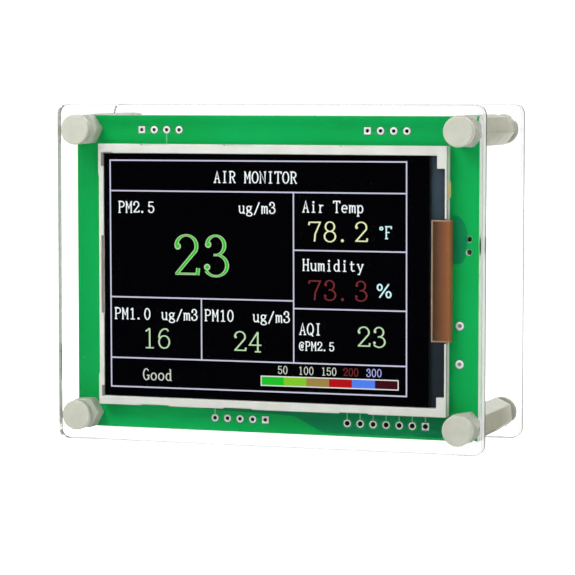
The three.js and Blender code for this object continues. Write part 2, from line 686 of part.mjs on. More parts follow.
// Case standing on its leads in the first row of holes.
function addClimateSensor() {
  const row = HOLE_ROWS[0];
  const middle = row.x + 1.5 * HEADER_PITCH;
  const y0 = Y.boardBack + CLIMATE.lift;
  const y1 = y0 + CLIMATE.length;
  const z0 = row.z - CLIMATE.depth / 2;
  const half = CLIMATE.width / 2;
  const back = block(middle - half, middle + half, y0, y1, z0, z0 + 2.2);
  const leads = [];
  for (let i = 0; i < row.count; i += 1) {
    const x = row.x + i * HEADER_PITCH;
    leads.push(block(x - 0.25, x + 0.25, Y.boardFront + 0.25, y0 + 1.5, row.z - 0.25, row.z + 0.25));
  }
  const tongue = block(middle - half + 0.5, middle + half - 0.5, y0, y0 + 1.4, z0 + 1, row.z + 0.4);
  const lid = block(middle - half, middle + half, y0 + 1.6, y1, z0 + 2.2 + SEAT, z0 + CLIMATE.depth);
  const slots = [];
  for (let rowIndex = 0; rowIndex < 4; rowIndex += 1) {
    for (let column = 0; column < 2; column += 1) {
      const x = middle - 4.6 + column * 5;
      const y = y0 + 4 + rowIndex * 2.6;
      slots.push(block(x, x + 4.2, y, y + 1.2, z0, z0 + 10));
    }
  }
  place('climate_sensor_case', joinAll(back, tongue, ...leads), MATERIAL.whitePlastic);
  place('climate_sensor_cover', cutAll(lid, ...slots), MATERIAL.whitePlastic);
}

// ---------------------------------------------------------------- charging socket and push button

const USB = { z: 14, width: 7.5, length: 5.4, height: 2.6, wall: 0.3 };

function addChargingSocket() {
  const x0 = -BOARD.width / 2 + 0.1;
  const x1 = x0 + USB.length;
  const y0 = Y.boardBack + SEAT;
  const y1 = y0 + USB.height;
  const { z, wall } = USB;
  const half = USB.width / 2;
  const inner = half - wall;
  const shell = block(x0, x1, y0, y1, z - half, z + half);
  const hollow = block(x0 - 1, x1 - wall, y0 + wall, y1 - wall, z - inner, z + inner);
  const middle = (y0 + y1) / 2;
  const rear = x1 - wall - SEAT;
  const tongue = block(x0 + 0.8, rear, middle - 0.3, middle + 0.3, z - 2.6, z + 2.6);
  const rootBlock = block(x1 - 1.6, rear, y0 + 0.4, y1 - 0.4, z - 3, z + 3);
  place('charging_socket_shell', shell.subtract(hollow), MATERIAL.steel);
  place('charging_socket_tongue', tongue.add(rootBlock), MATERIAL.blackPlastic);
}

// Side-acting push button: its plunger ends just past the board's right edge.
function addPushButton() {
  const x0 = 36.2;
  const x1 = 39;
  const tip = BOARD.width / 2 + 0.15;
  const y0 = Y.boardBack + SEAT;
  const y1 = y0 + 1.7;
  const halfCase = 2.35;
  const halfPlunger = 1.45;
  const halfChannel = halfPlunger + 0.1;
  const channelEnd = x0 + 0.6;
  const plungerEnd = channelEnd + BUTTON_TRAVEL + 0.1;
  const z = BUTTON_Z;
  const body = block(x0, x1, y0, y1, z - halfCase, z + halfCase);
  const channel = block(channelEnd, x1 + 1, y0 + 0.1, y1 - 0.1, z - halfChannel, z + halfChannel);
  const plunger = block(plungerEnd, tip, y0 + 0.2, y1 - 0.2, z - halfPlunger, z + halfPlunger);
  const pegs = [-1, 1].map((side) =>
    rod(PEG.x, z + side * PEG.spacing / 2, PEG.radius, Y.boardFront + 0.5, y0 + 0.1, 12));
  place('button_case', joinAll(body, ...pegs).subtract(channel), MATERIAL.blackPlastic);
  place('button_plunger', plunger, MATERIAL.blackPlastic);
}

// ---------------------------------------------------------------- chips on the back of the board

// Square package with leads on four sides.
function quadChip(x, z, size, leadsPerSide, pitch) {
  const y0 = Y.boardBack + 0.15;
  const half = size / 2;
  const body = block(x - half, x + half, y0, y0 + 1.4, z - half, z + half);
  const inner = half - 0.3;
  const outer = half + 1;
  const width = 0.28;
  const y1 = Y.boardBack + SEAT;
  const y2 = y0 + 0.35;
  const leads = [];
  for (let i = 0; i < leadsPerSide; i += 1) {
    const low = (i - (leadsPerSide - 1) / 2) * pitch - width / 2;
    const high = low + width;
    leads.push(block(x + inner, x + outer, y1, y2, z + low, z + high));
    leads.push(block(x - outer, x - inner, y1, y2, z + low, z + high));
    leads.push(block(x + low, x + high, y1, y2, z + inner, z + outer));
    leads.push(block(x + low, x + high, y1, y2, z - outer, z - inner));
  }
  return joinAll(body, ...leads);
}

function regulator(x, z) {
  const y0 = Y.boardBack + 0.1;
  const body = block(x - 3.25, x + 3.25, y0, y0 + 1.6, z - 1.75, z + 1.75);
  const tab = block(x - 1.5, x + 1.5, Y.boardBack + SEAT, y0 + 0.3, z, z + 3.4);
  const legs = [-2.3, 0, 2.3].map((offset) =>
    block(x + offset - 0.35, x + offset + 0.35, Y.boardBack + SEAT, y0 + 0.3, z - 3.4, z));
  return joinAll(body, tab, ...legs);
}

function powerInductor(x, z) {
  const y0 = Y.boardBack + SEAT;
  const base = slab(rounded(x - 3, x + 3, z - 3, z + 3, 0.8), y0, y0 + 0.8, 3);
  const core = rod(x, z, 2.7, y0 + 0.4, y0 + 3, 24);
  return base.add(core);
}

function addChips() {
  place('microcontroller', quadChip(14, 12, 7, 12, 0.5), MATERIAL.blackPlastic);
  place('voltage_regulator', regulator(-28, 13), MATERIAL.blackPlastic);
  place('power_inductor', powerInductor(-16, 12), MATERIAL.ferrite);
}

addShell();
addFasteners();
addDisplay();
addParticleSensor();
addBattery();
addClimateSensor();
addChargingSocket();
addPushButton();
addChips();

export default monitor;
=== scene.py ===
"""Looks of the desktop air quality monitor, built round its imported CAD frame.

Lengths are in millimetres and become metres where a mesh is made. +X is right, +Y is to the back,
+Z is up, and the display faces -Y.
"""

import math
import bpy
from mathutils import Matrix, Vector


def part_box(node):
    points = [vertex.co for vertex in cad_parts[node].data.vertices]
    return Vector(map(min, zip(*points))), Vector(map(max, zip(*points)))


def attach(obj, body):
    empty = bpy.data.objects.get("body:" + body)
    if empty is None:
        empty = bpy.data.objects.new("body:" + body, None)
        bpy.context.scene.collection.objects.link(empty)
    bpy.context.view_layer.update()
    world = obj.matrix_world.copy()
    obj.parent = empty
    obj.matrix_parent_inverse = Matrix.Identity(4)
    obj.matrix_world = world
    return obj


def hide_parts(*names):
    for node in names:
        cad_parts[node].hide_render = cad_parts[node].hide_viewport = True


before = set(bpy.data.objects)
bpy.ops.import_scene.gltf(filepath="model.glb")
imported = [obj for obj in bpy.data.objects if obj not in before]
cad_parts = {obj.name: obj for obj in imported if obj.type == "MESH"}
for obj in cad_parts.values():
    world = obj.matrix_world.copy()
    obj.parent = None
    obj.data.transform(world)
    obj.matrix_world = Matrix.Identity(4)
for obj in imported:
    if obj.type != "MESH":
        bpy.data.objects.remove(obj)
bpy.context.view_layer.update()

from types import SimpleNamespace

import bmesh
import bpy
from mathutils import Vector
from mathutils.geometry import tessellate_polygon

MM = 0.001


def span(node):
    """A CAD node's box at rest."""
    low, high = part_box(node)
    box = SimpleNamespace(x0=low.x / MM, y0=low.y / MM, z0=low.z / MM,
                          x1=high.x / MM, y1=high.y / MM, z1=high.z / MM)
    box.x, box.y, box.z = (box.x0 + box.x1) / 2, (box.y0 + box.y1) / 2, (box.z0 + box.z1) / 2
    return box


# ---------------------------------------------------------------- driving dimensions

PLATE_CORNER, PLATE_RIM = 2.0, 0.2
SCREW_HOLE = 1.6
# Depth of the painted shade on a plate's cut edge, just before its back face.
DARK_CORNER = 0.8
HEX_RADIUS, HEX_EDGE = 5.5 / math.sqrt(3), 0.22
STANDOFF_BORE = 1.5
SPACER_TURNS = {1: 4, 2: 54, 3: 9, 4: 2}
STANDOFF_TURNS = {1: 12, 2: 53, 3: 35, 4: 20}
HEADER_PITCH = 2.54
DRILL = 0.54
PAD_RADIUS = 0.73
SQUARE_PAD = PAD_RADIUS * 0.94
WIRE_PAD_RADIUS, WIRE_BORE = 0.8, 0.36
COPPER = 0.035
PRINT = 0.008
TRACK_DEPTH, AREA_DEPTH = 0.03, 0.012

BOARD = span("main_board")
DISPLAY = span("display_frame")
SCREEN = span("display_polariser")
MIDDLE = (DISPLAY.x1 - 34.7, DISPLAY.z)
CORNERS = {n: (span(f"front_screw_{n}").x, span(f"front_screw_{n}").z) for n in (1, 2, 3, 4)}

# Rows of plated holes: first hole from the board's centre, number of holes, index of the square pad, bore.
HEADER_ROWS = [(-26.6, 27.2, 4, 0, 0.34), (18.5, 27.2, 4, 0, 0.34), (-11.8, -27.5, 5, 4, 0.36),
               (14.65, -27.5, 7, 6, 0.48)]
WIRE_PADS = [(36.4, -8.6), (36.4, -15.7)]
PEGS = [(38.1, 7.4), (38.1, 5.0)]
BUTTON_TRAVEL = 0.25


# ---------------------------------------------------------------- outlines

def rectangle(x0, x1, z0, z1):
    return [(x0, z0), (x1, z0), (x1, z1), (x0, z1)]


def square(x, z, half):
    return rectangle(x - half, x + half, z - half, z + half)


def disc(x, z, radius, sides=32, turn=0.0):
    return [(x + radius * math.cos(turn + math.tau * i / sides),
             z + radius * math.sin(turn + math.tau * i / sides)) for i in range(sides)]


def fillet(points, radius, steps=4):
    """The outline with its corners rounded."""
    made = []
    for i, corner in enumerate(points):
        here = Vector(corner)
        before, after = Vector(points[i - 1]) - here, Vector(points[(i + 1) % len(points)]) - here
        reach = min(radius, before.length / 2, after.length / 2)
        start, end = here + before.normalized() * reach, here + after.normalized() * reach
        for k in range(steps + 1):
            t = k / steps
            made.append(tuple(start * (1 - t) ** 2 + here * 2 * t * (1 - t) + end * t ** 2))
    return made


def rounded(x0, x1, z0, z1, radius, steps=4):
    return fillet(rectangle(x0, x1, z0, z1), radius, steps)


def footprint(box, axes, radius, steps=4, wall=0.0):
    """Outline of a box seen along its third axis, smaller all round by wall, with rounded corners."""
    sides = [getattr(box, axis + end) + way * wall for axis in axes for end, way in (("0", 1), ("1", -1))]
    return rounded(*sides, radius, steps)


def turns(count, whole=math.pi / 2):
    """Angles from 0 to the whole, in equal steps."""
    return [whole * k / count for k in range(count + 1)]


def slotted_disc(x, z, radius, inner, bars, width):
    """Openings of a round guard: sectors between evenly turned bars across a boss."""
    openings = []
    for k in range(2 * bars):
        low, high = math.pi * k / bars, math.pi * (k + 1) / bars
        sector = []
        for r, way in ((radius, 1), (inner, -1)):
            gap = math.asin(width / 2 / r)
            for i in range(13)[::way]:
                angle = low + gap + (high - low - 2 * gap) * i / 12
                sector.append((x + r * math.cos(angle), z + r * math.sin(angle)))
        openings.append(sector)
    return openings


def area(loop):
    return sum(a[0] * b[1] - b[0] * a[1] for a, b in zip(loop, loop[1:] + loop[:1])) / 2


def inset(loop, distance):
    """The loop moved to its left by distance, with mitred corners."""
    if not distance:
        return loop
    made = []
    for i, corner in enumerate(loop):
        here = Vector(corner)
        before, after = here - Vector(loop[i - 1]), Vector(loop[(i + 1) % len(loop)]) - here
        n1, n2 = (Vector((-d.y, d.x)).normalized() for d in (before, after))
        shift = (n1 + n2) / max(0.3, 1 + n1.dot(n2))
        made.append(tuple(here + shift * distance))
    return made


def spline(points, steps=8):
    """Smooth path through the points."""
    made = []
    ends = [Vector(p) for p in (points[0], *points, points[-1])]
    for a, b, c, d in zip(ends, ends[1:], ends[2:], ends[3:]):
        for k in range(steps):
            t = k / steps
            made.append(0.5 * (2 * b + (c - a) * t + (2 * a - 5 * b + 4 * c - d) * t ** 2
                               + (3 * b - a - 3 * c + d) * t ** 3))
    return made + [ends[-1]]


# ---------------------------------------------------------------- solids

AXES = {"x": (1, 2, 0), "y": (0, 2, 1), "z": (0, 1, 2)}


class Piece:
    """One visible piece: closed solids gathered in one mesh."""

    def __init__(self):
        self.mesh = bmesh.new()

    def ring(self, points, height, axis):
        verts = []
        for u, v in points:
            place = [0.0, 0.0, 0.0]
            for index, value in zip(AXES[axis], (u, v, height)):
                place[index] = value * MM
            verts.append(self.mesh.verts.new(place))
        return verts

    def face(self, verts, slot):
        self.mesh.faces.new(verts).material_index = slot

    def walls(self, near, far, slot):
        for i in range(len(near)):
            j = (i + 1) % len(near)
            self.face((near[i], near[j], far[j], far[i]), slot)

    def cap(self, rings, loops, slot):
        verts = [v for ring in rings for v in ring]
        if len(verts) <= 4:
            self.face(verts, slot)
            return
        for corners in tessellate_polygon([[Vector((u, v, 0)) for u, v in loop] for loop in loops]):
            self.face([verts[i] for i in corners], slot)

    def prism(self, loops, low, high, axis="y", bevel=0.0, far=None, steps=2, slot=0, side=None, rim=None):
        """Solid between low and high from an outline and its holes.

        bevel rounds the edges at low, and far those at high. slot, side and rim are the material slots
        of the end faces, the walls and the rounded edges.
        """
        far = bevel if far is None else far
        side = slot if side is None else side
        rim = side if rim is None else rim
        loops = [loop if (area(loop) > 0) == (i == 0) else loop[::-1] for i, loop in enumerate(loops)]
        levels = []
        for size, base, way in ((bevel, low, 1), (far, high, -1)):
            angles = turns(steps) if size else [math.pi / 2]
            part = [(size * (1 - math.sin(t)), base + way * size * (1 - math.cos(t))) for t in angles]
            levels += part[::way]
            if way == 1:
                flat = len(levels) - 1
        outlines = [[inset(loop, depth) for loop in loops] for depth, _ in levels]
        rings = [[self.ring(loop, height, axis) for loop in outline]
                 for outline, (_, height) in zip(outlines, levels)]
        for level, (near, after) in enumerate(zip(rings, rings[1:])):
            for a, b in zip(near, after):
                self.walls(a, b, side if level == flat else rim)
        self.cap(rings[0], outlines[0], slot)
        self.cap(rings[-1], outlines[-1], slot)

    def block(self, x0, x1, y0, y1, z0, z1, bevel=0.08, steps=2, slot=0, corner=None):
        """Box along Y with rounded edges."""
        outline = rectangle(x0, x1, z0, z1)
        corner = bevel if corner is None else corner
        outline = fillet(outline, corner, 3) if corner else outline
        self.prism([outline], y0, y1, "y", bevel, steps=steps, slot=slot)

    def lathe(self, profile, centre, axis="y", sides=32, slot=0):
        """Solid of revolution from (radius, height) pairs, which end on the axis or close on themselves."""
        rings = [self.ring(disc(*centre, r, sides) if r > 1e-6 else [centre], h, axis) for r, h in profile]
        pairs = list(zip(rings, rings[1:]))
        if len(rings[0]) > 1:
            pairs.append((rings[-1], rings[0]))
        for a, b in pairs:
            for i in range(sides if len(a) + len(b) > 2 else 0):
                j = (i + 1) % sides
                corners = (a[i % len(a)], a[j % len(a)], b[j % len(b)], b[i % len(b)])
                self.face(list(dict.fromkeys(corners)), slot)

    def tube(self, path, radius, sides=12, slot=0):
        """Round wire along a path of 3-D points."""
        path = [Vector(p) for p in path]
        last = len(path) - 1
        side = (path[1] - path[0]).orthogonal()
        rings = []
        for i, point in enumerate(path):
            along = (path[min(i + 1, last)] - path[max(i - 1, 0)]).normalized()
            side = (side - along * side.dot(along)).normalized()
            other = along.cross(side)
            rings.append([self.mesh.verts.new((point + side * u + other * v) * MM)
                          for u, v in disc(0, 0, radius, sides)])
        for near, after in zip(rings, rings[1:]):
            self.walls(near, after, slot)
        self.face(rings[0], slot)
        self.face(rings[-1], slot)

    def stroke(self, points, width, low, high, slot=0, axis="y"):
        """Flat ribbon through (u, v) points. width is a number, or gives the width for a unit direction."""
        points = [Vector(p) for p in points]
        closed = (points[0] - points[-1]).length < 1e-6
        if closed:
            points.pop()
        count = len(points)
        rings = []
        for i, here in enumerate(points):
            before = here - points[i - 1] if closed or i else points[1] - here
            after = points[(i + 1) % count] - here if closed or i < count - 1 else before
            before, after = before.normalized(), after.normalized()
            along = (before + after).normalized()
            wide = width(along) if callable(width) else width
            half = Vector((-along.y, along.x)) * wide / 2 / max(0.6, along.dot(after))
            left, right = tuple(here + half), tuple(here - half)
            rings.append(self.ring([left, right], low, axis) + self.ring([right, left], high, axis))
        for near, far in zip(rings, rings[1:] + (rings[:1] if closed else [])):
            self.walls(near, far, slot)
        if not closed:
            self.face(rings[0], slot)
            self.face(rings[-1], slot)

    def done(self, name, *materials, replaces=(), slot=None, body="frame", smooth=50):
        """Makes the piece's object. The slot argument is not used."""
        bmesh.ops.recalc_face_normals(self.mesh, faces=self.mesh.faces)
        mesh = bpy.data.meshes.new(name)
        self.mesh.to_mesh(mesh)
        self.mesh.free()
        for material in materials:
            mesh.materials.append(material)
        mesh.polygons.foreach_set("use_smooth", [True] * len(mesh.polygons))
        mesh.set_sharp_from_angle(angle=math.radians(smooth))
        obj = bpy.data.objects.new(name, mesh)
        bpy.context.scene.collection.objects.link(obj)
        obj.modifiers.new("flat_faces", "WEIGHTED_NORMAL").keep_sharp = True
        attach(obj, body)
        if replaces:
            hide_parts(*replaces)
        return obj


def carry(node, material, bevel=0.08):
    """Keeps a CAD node, with rounded edges and a better material."""
    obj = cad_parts[node]
    obj.material_slots[0].material = material
    obj.modifiers.new("joined", "WELD").merge_threshold = 1e-6
    rounding = obj.modifiers.new("rounded", "BEVEL")
    rounding.width = bevel * MM
    rounding.segments = 2
    rounding.limit_method = "ANGLE"
    rounding.angle_limit = math.radians(40)


# ---------------------------------------------------------------- materials

def grey(level):
    """A linear grey."""
    return (level, level, level, 1)


class Nodes:
    """The nodes of a material or world."""

    def __init__(self, owner):
        owner.use_nodes = True
        self.owner, self.tree = owner, owner.node_tree
        self.tree.nodes.clear()

    def node(self, kind, inputs=None, **settings):
        made = self.tree.nodes.new("ShaderNode" + kind)
        for key, value in settings.items():
            setattr(made, key, value)
        for key, value in (inputs or {}).items():
            if isinstance(value, bpy.types.NodeSocket):
                self.tree.links.new(value, made.inputs[key])
            else:
                made.inputs[key].default_value = value
        return made.outputs

    def end(self, shader, kind="Material"):
        self.node("Output" + kind, {"Surface": shader})
        return self.owner

    def millimetres(self):
        """Place on the object, in millimetres."""
        place = self.node("TexCoord")["Object"]
        return self.node("VectorMath", {0: place, "Scale": 1 / MM}, operation="SCALE")[0]

    def noise(self, place, scale, detail=3.0):
        return self.node("TexNoise", {"Vector": place, "Scale": scale, "Detail": detail})[0]

    def spread(self, value, low, high, to_low=0.0, to_high=1.0):
        names = ("Value", "From Min", "From Max", "To Min", "To Max")
        return self.node("MapRange", dict(zip(names, (value, low, high, to_low, to_high))))[0]

    def blend(self, share, first, second):
        return self.node("Mix", {0: share, 6: first, 7: second}, data_type="RGBA")[2]

    def mix(self, share, first, second):
        """Two shaders mixed: the first at share 0, the second at 1."""
        return self.node("MixShader", {0: share, 1: first, 2: second})[0]

    def calc(self, operation, first, second=0.0):
        return self.node("Math", {0: first, 1: second}, operation=operation)[0]

    def times(self, first, second):
        return self.calc("MULTIPLY", first, second)

    def plus(self, first, second):
        return self.calc("ADD", first, second)

    def minus(self, first, second):
        return self.calc("SUBTRACT", first, second)

    def highest(self, first, second):
        return self.calc("MAXIMUM", first, second)

    def parts(self, place):
        """X, Y and Z of a place."""
        return self.node("SeparateXYZ", {0: place})

    def stripes(self, value, pitch, share):
        """1 on evenly spaced stripes, 0 between them."""
        return self.calc("LESS_THAN", self.calc("FRACT", self.calc("DIVIDE", value, pitch)), share)

    def bump(self, height, depth):
        """Relief of this depth in millimetres."""
        return self.node("Bump", {"Height": height, "Distance": depth * MM, "Strength": 1.0})[0]


def rgb(red, green, blue):
    """Display colour values, 0 to 255, as a linear colour."""
    shares = (c / 255 for c in (red, green, blue))
    return (*[((c + 0.055) / 1.055) ** 2.4 if c > 10 / 255 else c / 12.92 for c in shares], 1)


def surface(name, colour, other, rough=0.4, patch=0.35, grain=9.0, relief=0.003, pattern=None, **values):
    """Material of two close colours in patches, with a fine grain in its roughness and relief."""
    tree = Nodes(bpy.data.materials.new(name))
    place = tree.millimetres()
    tone = tree.spread(tree.noise(place, patch, 4.0), 0.35, 0.65)
    fine = tree.noise(place, grain)
    shade, height = tree.blend(tone, rgb(*colour), rgb(*other)), fine
    if pattern:
        shade, height = pattern(tree, place, shade, fine)
    named = {key.replace("_", " "): value for key, value in values.items()}
    return tree.end(tree.node("BsdfPrincipled", {
        "Base Color": shade, "Roughness": tree.spread(fine, 0.2, 0.8, rough - 0.06, rough + 0.06),
        "Normal": tree.bump(height, relief), **named})[0])


def weave(tree, place, shade, fine):
    """Glass cloth under the solder mask."""
    x, _, z = tree.parts(place)
    cloth = tree.times(*[tree.calc("SINE", tree.times(value, 11.0)) for value in (x, z)])
    darker = tree.blend(0.12, shade, rgb(0, 90, 40))
    return (tree.blend(tree.spread(cloth, -1, 1, 0, 0.5), shade, darker),
            tree.plus(tree.times(cloth, 0.25), fine))


def layers(tree, place, shade, fine):
    """Cut edge of the board: thin plies along its thickness."""
    _, y, _ = tree.parts(place)
    ply = tree.stripes(y, 0.2, 0.4)
    shade = tree.blend(tree.times(ply, 0.2), shade, rgb(170, 178, 140))
    return shade, tree.plus(ply, fine)


def fine_tracks(tree, place, shade, fine):
    """Transparent tracks on the display's glass ledge, over painted shade that darkens it towards the
    bottom.
    """
    _, _, z = tree.parts(place)
    line = tree.stripes(z, 0.24, 0.35)
    # Painted shade, darker towards the bottom of the ledge.
    lower = tree.spread(z, 50.0, 14.0, 0.0, 0.75)
    base = tree.blend(lower, shade, rgb(20, 25, 28))
    return tree.blend(tree.times(line, 0.12), base, rgb(92, 100, 106)), fine


def flex_tracks(tree, place, shade, fine):
    """Copper tracks under amber film: lighter towards the bend, darker away from it."""
    x, _, z = tree.parts(place)
    line = tree.stripes(z, 0.5, 0.55)
    toward_bend = tree.spread(x, 32.2, 35.2)
    base = tree.blend(toward_bend, shade, rgb(160, 94, 46))
    return (tree.blend(tree.times(line, 0.22), base, rgb(92, 52, 26)),
            tree.plus(tree.times(line, 0.4), fine))


def brushed(tree, place, shade, fine):
    """Long fine lines along X."""
    stretch = (0.5, 14.0, 14.0)
    places = [tree.times(value, scale) for value, scale in zip(tree.parts(place), stretch)]
    long_grain = tree.node("CombineXYZ", dict(enumerate(places)))[0]
    lines = tree.noise(long_grain, 1.5)
    return tree.blend(tree.times(lines, 0.3), shade, rgb(120, 122, 124)), lines


def creases(tree, place, shade, fine):
    """Soft wrinkles of laminate foil."""
    folds = tree.node("TexVoronoi", {"Vector": place, "Scale": 0.28}, feature="SMOOTH_F1")[0]
    return shade, tree.plus(tree.times(folds, 12.0), tree.times(fine, 0.6))


def lit(name, *colour):
    """Lit picture elements of the display, with the dark grid between its pixels."""
    pixel, open_share = 0.18, 0.9
    tree = Nodes(bpy.data.materials.new(name))
    x, _, z = tree.parts(tree.millimetres())
    gaps = tree.times(*[tree.stripes(value, pixel, open_share) for value in (x, z)])
    strength = tree.spread(gaps, 0, 1, 0.8, 1.15)
    return tree.end(tree.node("Emission", {"Color": rgb(*colour), "Strength": strength})[0])


def acrylic_sheet():
    """Clear cast acrylic with a trace of waviness. It lets lamp light through."""
    tree = Nodes(bpy.data.materials.new("clear_acrylic"))
    specks = tree.noise(tree.millimetres(), 0.9, 5.0)
    glass = tree.node("BsdfGlass", {"Color": (0.985, 0.99, 0.99, 1), "IOR": 1.49,
                                    "Normal": tree.bump(specks, 0.0004),
                                    "Roughness": tree.spread(specks, 0.3, 0.7, 0.0, 0.012)})[0]
    path = tree.node("LightPath")
    through = tree.highest(path["Is Shadow Ray"], path["Is Diffuse Ray"])
    open_air = tree.node("BsdfTransparent", {"Color": (0.96, 0.97, 0.97, 1)})[0]
    return tree.end(tree.mix(through, glass, open_air))


def acrylic_cut(name, low_frost, high_frost, dark_from, dark_to):
    """Flame-polished cut edge: frosted white with fine saw lines, painted shade where it turns from the eye.

    The frost grows from low_frost to high_frost, and the painted shade darkens from dark_from to dark_to,
    as the face turns away. The last part before a plate's back face has painted shade too. Seen from
    inside the plate, the edge is clear.
    """
    tree = Nodes(bpy.data.materials.new(name))
    place = tree.millimetres()
    depth = tree.parts(place)[1]
    saw = tree.plus(tree.noise(place, 7.0), tree.stripes(depth, 0.35, 0.5))
    bump = tree.bump(saw, 0.004)
    plate_back = span("front_plate").y1
    plate_step = span("rear_plate").y1 - plate_back
    # The last part before the plate's back face, which gets painted shade.
    corner = tree.stripes(tree.minus(plate_back, depth), plate_step, DARK_CORNER / plate_step)
    turned = tree.node("LayerWeight", {"Blend": 0.5})["Facing"]
    share = tree.plus(tree.spread(turned, 0.25, 0.9, low_frost, high_frost), tree.times(saw, 0.03))
    share = tree.highest(share, tree.times(corner, 0.9))
    share = tree.times(share, tree.minus(1.0, tree.node("NewGeometry")["Backfacing"]))
    clear = tree.node("BsdfTransparent", {"Color": (0.985, 0.985, 0.985, 1)})[0]
    shine = tree.node("BsdfGlossy", {"Roughness": 0.12, "Normal": bump})[0]
    # Painted shade: darker as the face turns from the eye, and on the last part before the back face.
    dark = tree.highest(corner, tree.spread(turned, dark_from, dark_to))
    shade = tree.blend(dark, rgb(250, 250, 249), rgb(86, 82, 85))
    frosted = tree.node("BsdfDiffuse", {"Color": shade, "Normal": bump})[0]
    polished = tree.mix(tree.node("Fresnel", {"IOR": 1.3})[0], clear, shine)
    return tree.end(tree.mix(share, polished, frosted))


ACRYLIC = acrylic_sheet()
ACRYLIC_EDGE = acrylic_cut("acrylic_cut_edge", 0.46, 0.52, 1.5, 2.0)
ACRYLIC_RIM = acrylic_cut("acrylic_rim", 0.4, 0.8, 0.3, 0.8)
MASK = surface("solder_mask", (1, 180, 90), (1, 170, 78), rough=0.4, patch=0.05, relief=0.004,
               pattern=weave, Specular_IOR_Level=0.12)
POUR = surface("mask_over_copper", (6, 128, 82), (5, 138, 78), rough=0.38, patch=0.4, relief=0.006,
               pattern=weave, Specular_IOR_Level=0.12)
TRACK = surface("mask_over_track", (120, 204, 150), (96, 190, 130), rough=0.34, Coat_Weight=0.3)
BACK_TRACK = surface("mask_over_back_track", (30, 158, 84), (22, 146, 76), rough=0.34, Coat_Weight=0.3)
CORE = surface("board_core", (244, 245, 240), (232, 235, 226), rough=0.6, pattern=layers, relief=0.02)
# Pale tin with a painted sheen: the near-white base, with little metal, stands in for the tin's bright
# reflection.
TIN = surface("tinned_pad", (252, 253, 250), (242, 244, 240), rough=0.34, grain=5.0, relief=0.02,
              Metallic=0.1)
BARE = surface("bare_laminate", (40, 92, 52), (52, 100, 58), rough=0.6, relief=0.01)
# Painted shade: solder and barrel walls deep in the holes, painted near-black for the shade in a narrow
# hole.
SHADED_SOLDER = surface("solder_painted_shade", (40, 41, 40), (28, 30, 28), rough=0.5, grain=5.0, relief=0.02, Metallic=0.4)
DULL_SOLDER = surface("dull_solder", (168, 160, 154), (150, 144, 138), rough=0.5, grain=5.0, relief=0.02,
                      Metallic=0.3)
CLOUDY = dict(patch=0.5, grain=3.0, relief=0.008, Subsurface_Weight=0.35, Subsurface_Radius=(1.0, 0.9, 0.7),
              Subsurface_Scale=0.0012)
NYLON = surface("nylon", (190, 192, 180), (183, 184, 170), rough=0.42, **CLOUDY)
# Painted shade: the screws' nylon made darker and warmer for the standoffs, which stand in shade behind the
# board.
SHADED_NYLON = surface("nylon_painted_shade", (178, 177, 158), (169, 168, 148), rough=0.4, **CLOUDY)
FRAME_PLASTIC = surface("display_frame_plastic", (226, 225, 218), (216, 214, 206), rough=0.4, patch=0.25,
                        relief=0.003, Subsurface_Weight=0.15, Subsurface_Scale=0.0006)
# Painted shade: a dark copy of the frame plastic for the frame's inner walls and recess, where shade falls.
SHADED_PLASTIC = surface("painted_shade_plastic", (124, 116, 108), (138, 130, 120), rough=0.5, relief=0.004)
FACE = surface("screen_face", (0, 0, 2), (1, 1, 3), rough=0.1, relief=0.0004, Specular_IOR_Level=0.12)
GLASS = surface("display_glass", (22, 26, 30), (18, 22, 27), rough=0.1, relief=0.0004)
LEDGE = surface("ledge_glass", (56, 70, 80), (50, 64, 75), rough=0.2, patch=0.2, relief=0.001,
                pattern=fine_tracks)
FLEX = surface("flex_circuit", (66, 44, 27), (74, 49, 29), rough=0.36, patch=0.25, relief=0.006,
               pattern=flex_tracks, Coat_Weight=0.5, Coat_Roughness=0.25)
FLEX_RIM = surface("flex_cover_rim", (168, 140, 112), (150, 122, 94), rough=0.4, relief=0.004)
TAB = surface("backlight_tab", (252, 216, 168), (242, 200, 148), rough=0.42, relief=0.004)
FOAM = surface("foam_tape", (224, 222, 214), (206, 204, 196), rough=0.85, grain=4.0, relief=0.05)
LIGHT_GUIDE = surface("light_guide", (228, 232, 232), (218, 224, 226), rough=0.2, relief=0.002)
SILICON = surface("silicon", (40, 42, 48), (52, 54, 62), rough=0.2, relief=0.002)
SENSOR_PLASTIC = surface("sensor_plastic", (84, 110, 142), (74, 99, 130), rough=0.42, patch=0.2, grain=7.0,
                         relief=0.012, Metallic=0.25)
BLACK = surface("black_plastic", (26, 26, 28), (34, 34, 36), rough=0.45, grain=7.0, relief=0.01)
PACKAGE = surface("chip_package", (38, 38, 40), (46, 46, 48), rough=0.55, grain=12.0, relief=0.012)
WHITE = surface("connector_plastic", (232, 228, 214), (220, 215, 200), rough=0.42, relief=0.006,
                Subsurface_Weight=0.15, Subsurface_Scale=0.0008)
STEEL = surface("tinned_steel", (196, 199, 202), (178, 181, 184), rough=0.26, pattern=brushed, relief=0.004,
                Metallic=1.0)
GOLD = surface("gold_plate", (214, 178, 104), (196, 158, 84), rough=0.28, relief=0.003, Metallic=1.0)
FOIL = surface("pouch_foil", (176, 180, 184), (160, 164, 170), rough=0.3, patch=0.12, relief=0.03,
               pattern=creases, Metallic=0.85)
AMBER_TAPE = surface("amber_tape", (206, 138, 34), (186, 114, 22), rough=0.28, patch=0.3, relief=0.03,
                     pattern=creases, Coat_Weight=0.6)
RED_WIRE = surface("red_wire", (190, 28, 28), (170, 20, 22), rough=0.36, relief=0.004)
BLACK_WIRE = surface("black_wire", (24, 24, 26), (34, 34, 36), rough=0.36, relief=0.004)
WHITE_WIRE = surface("white_wire", (220, 220, 214), (206, 206, 198), rough=0.36, relief=0.004)
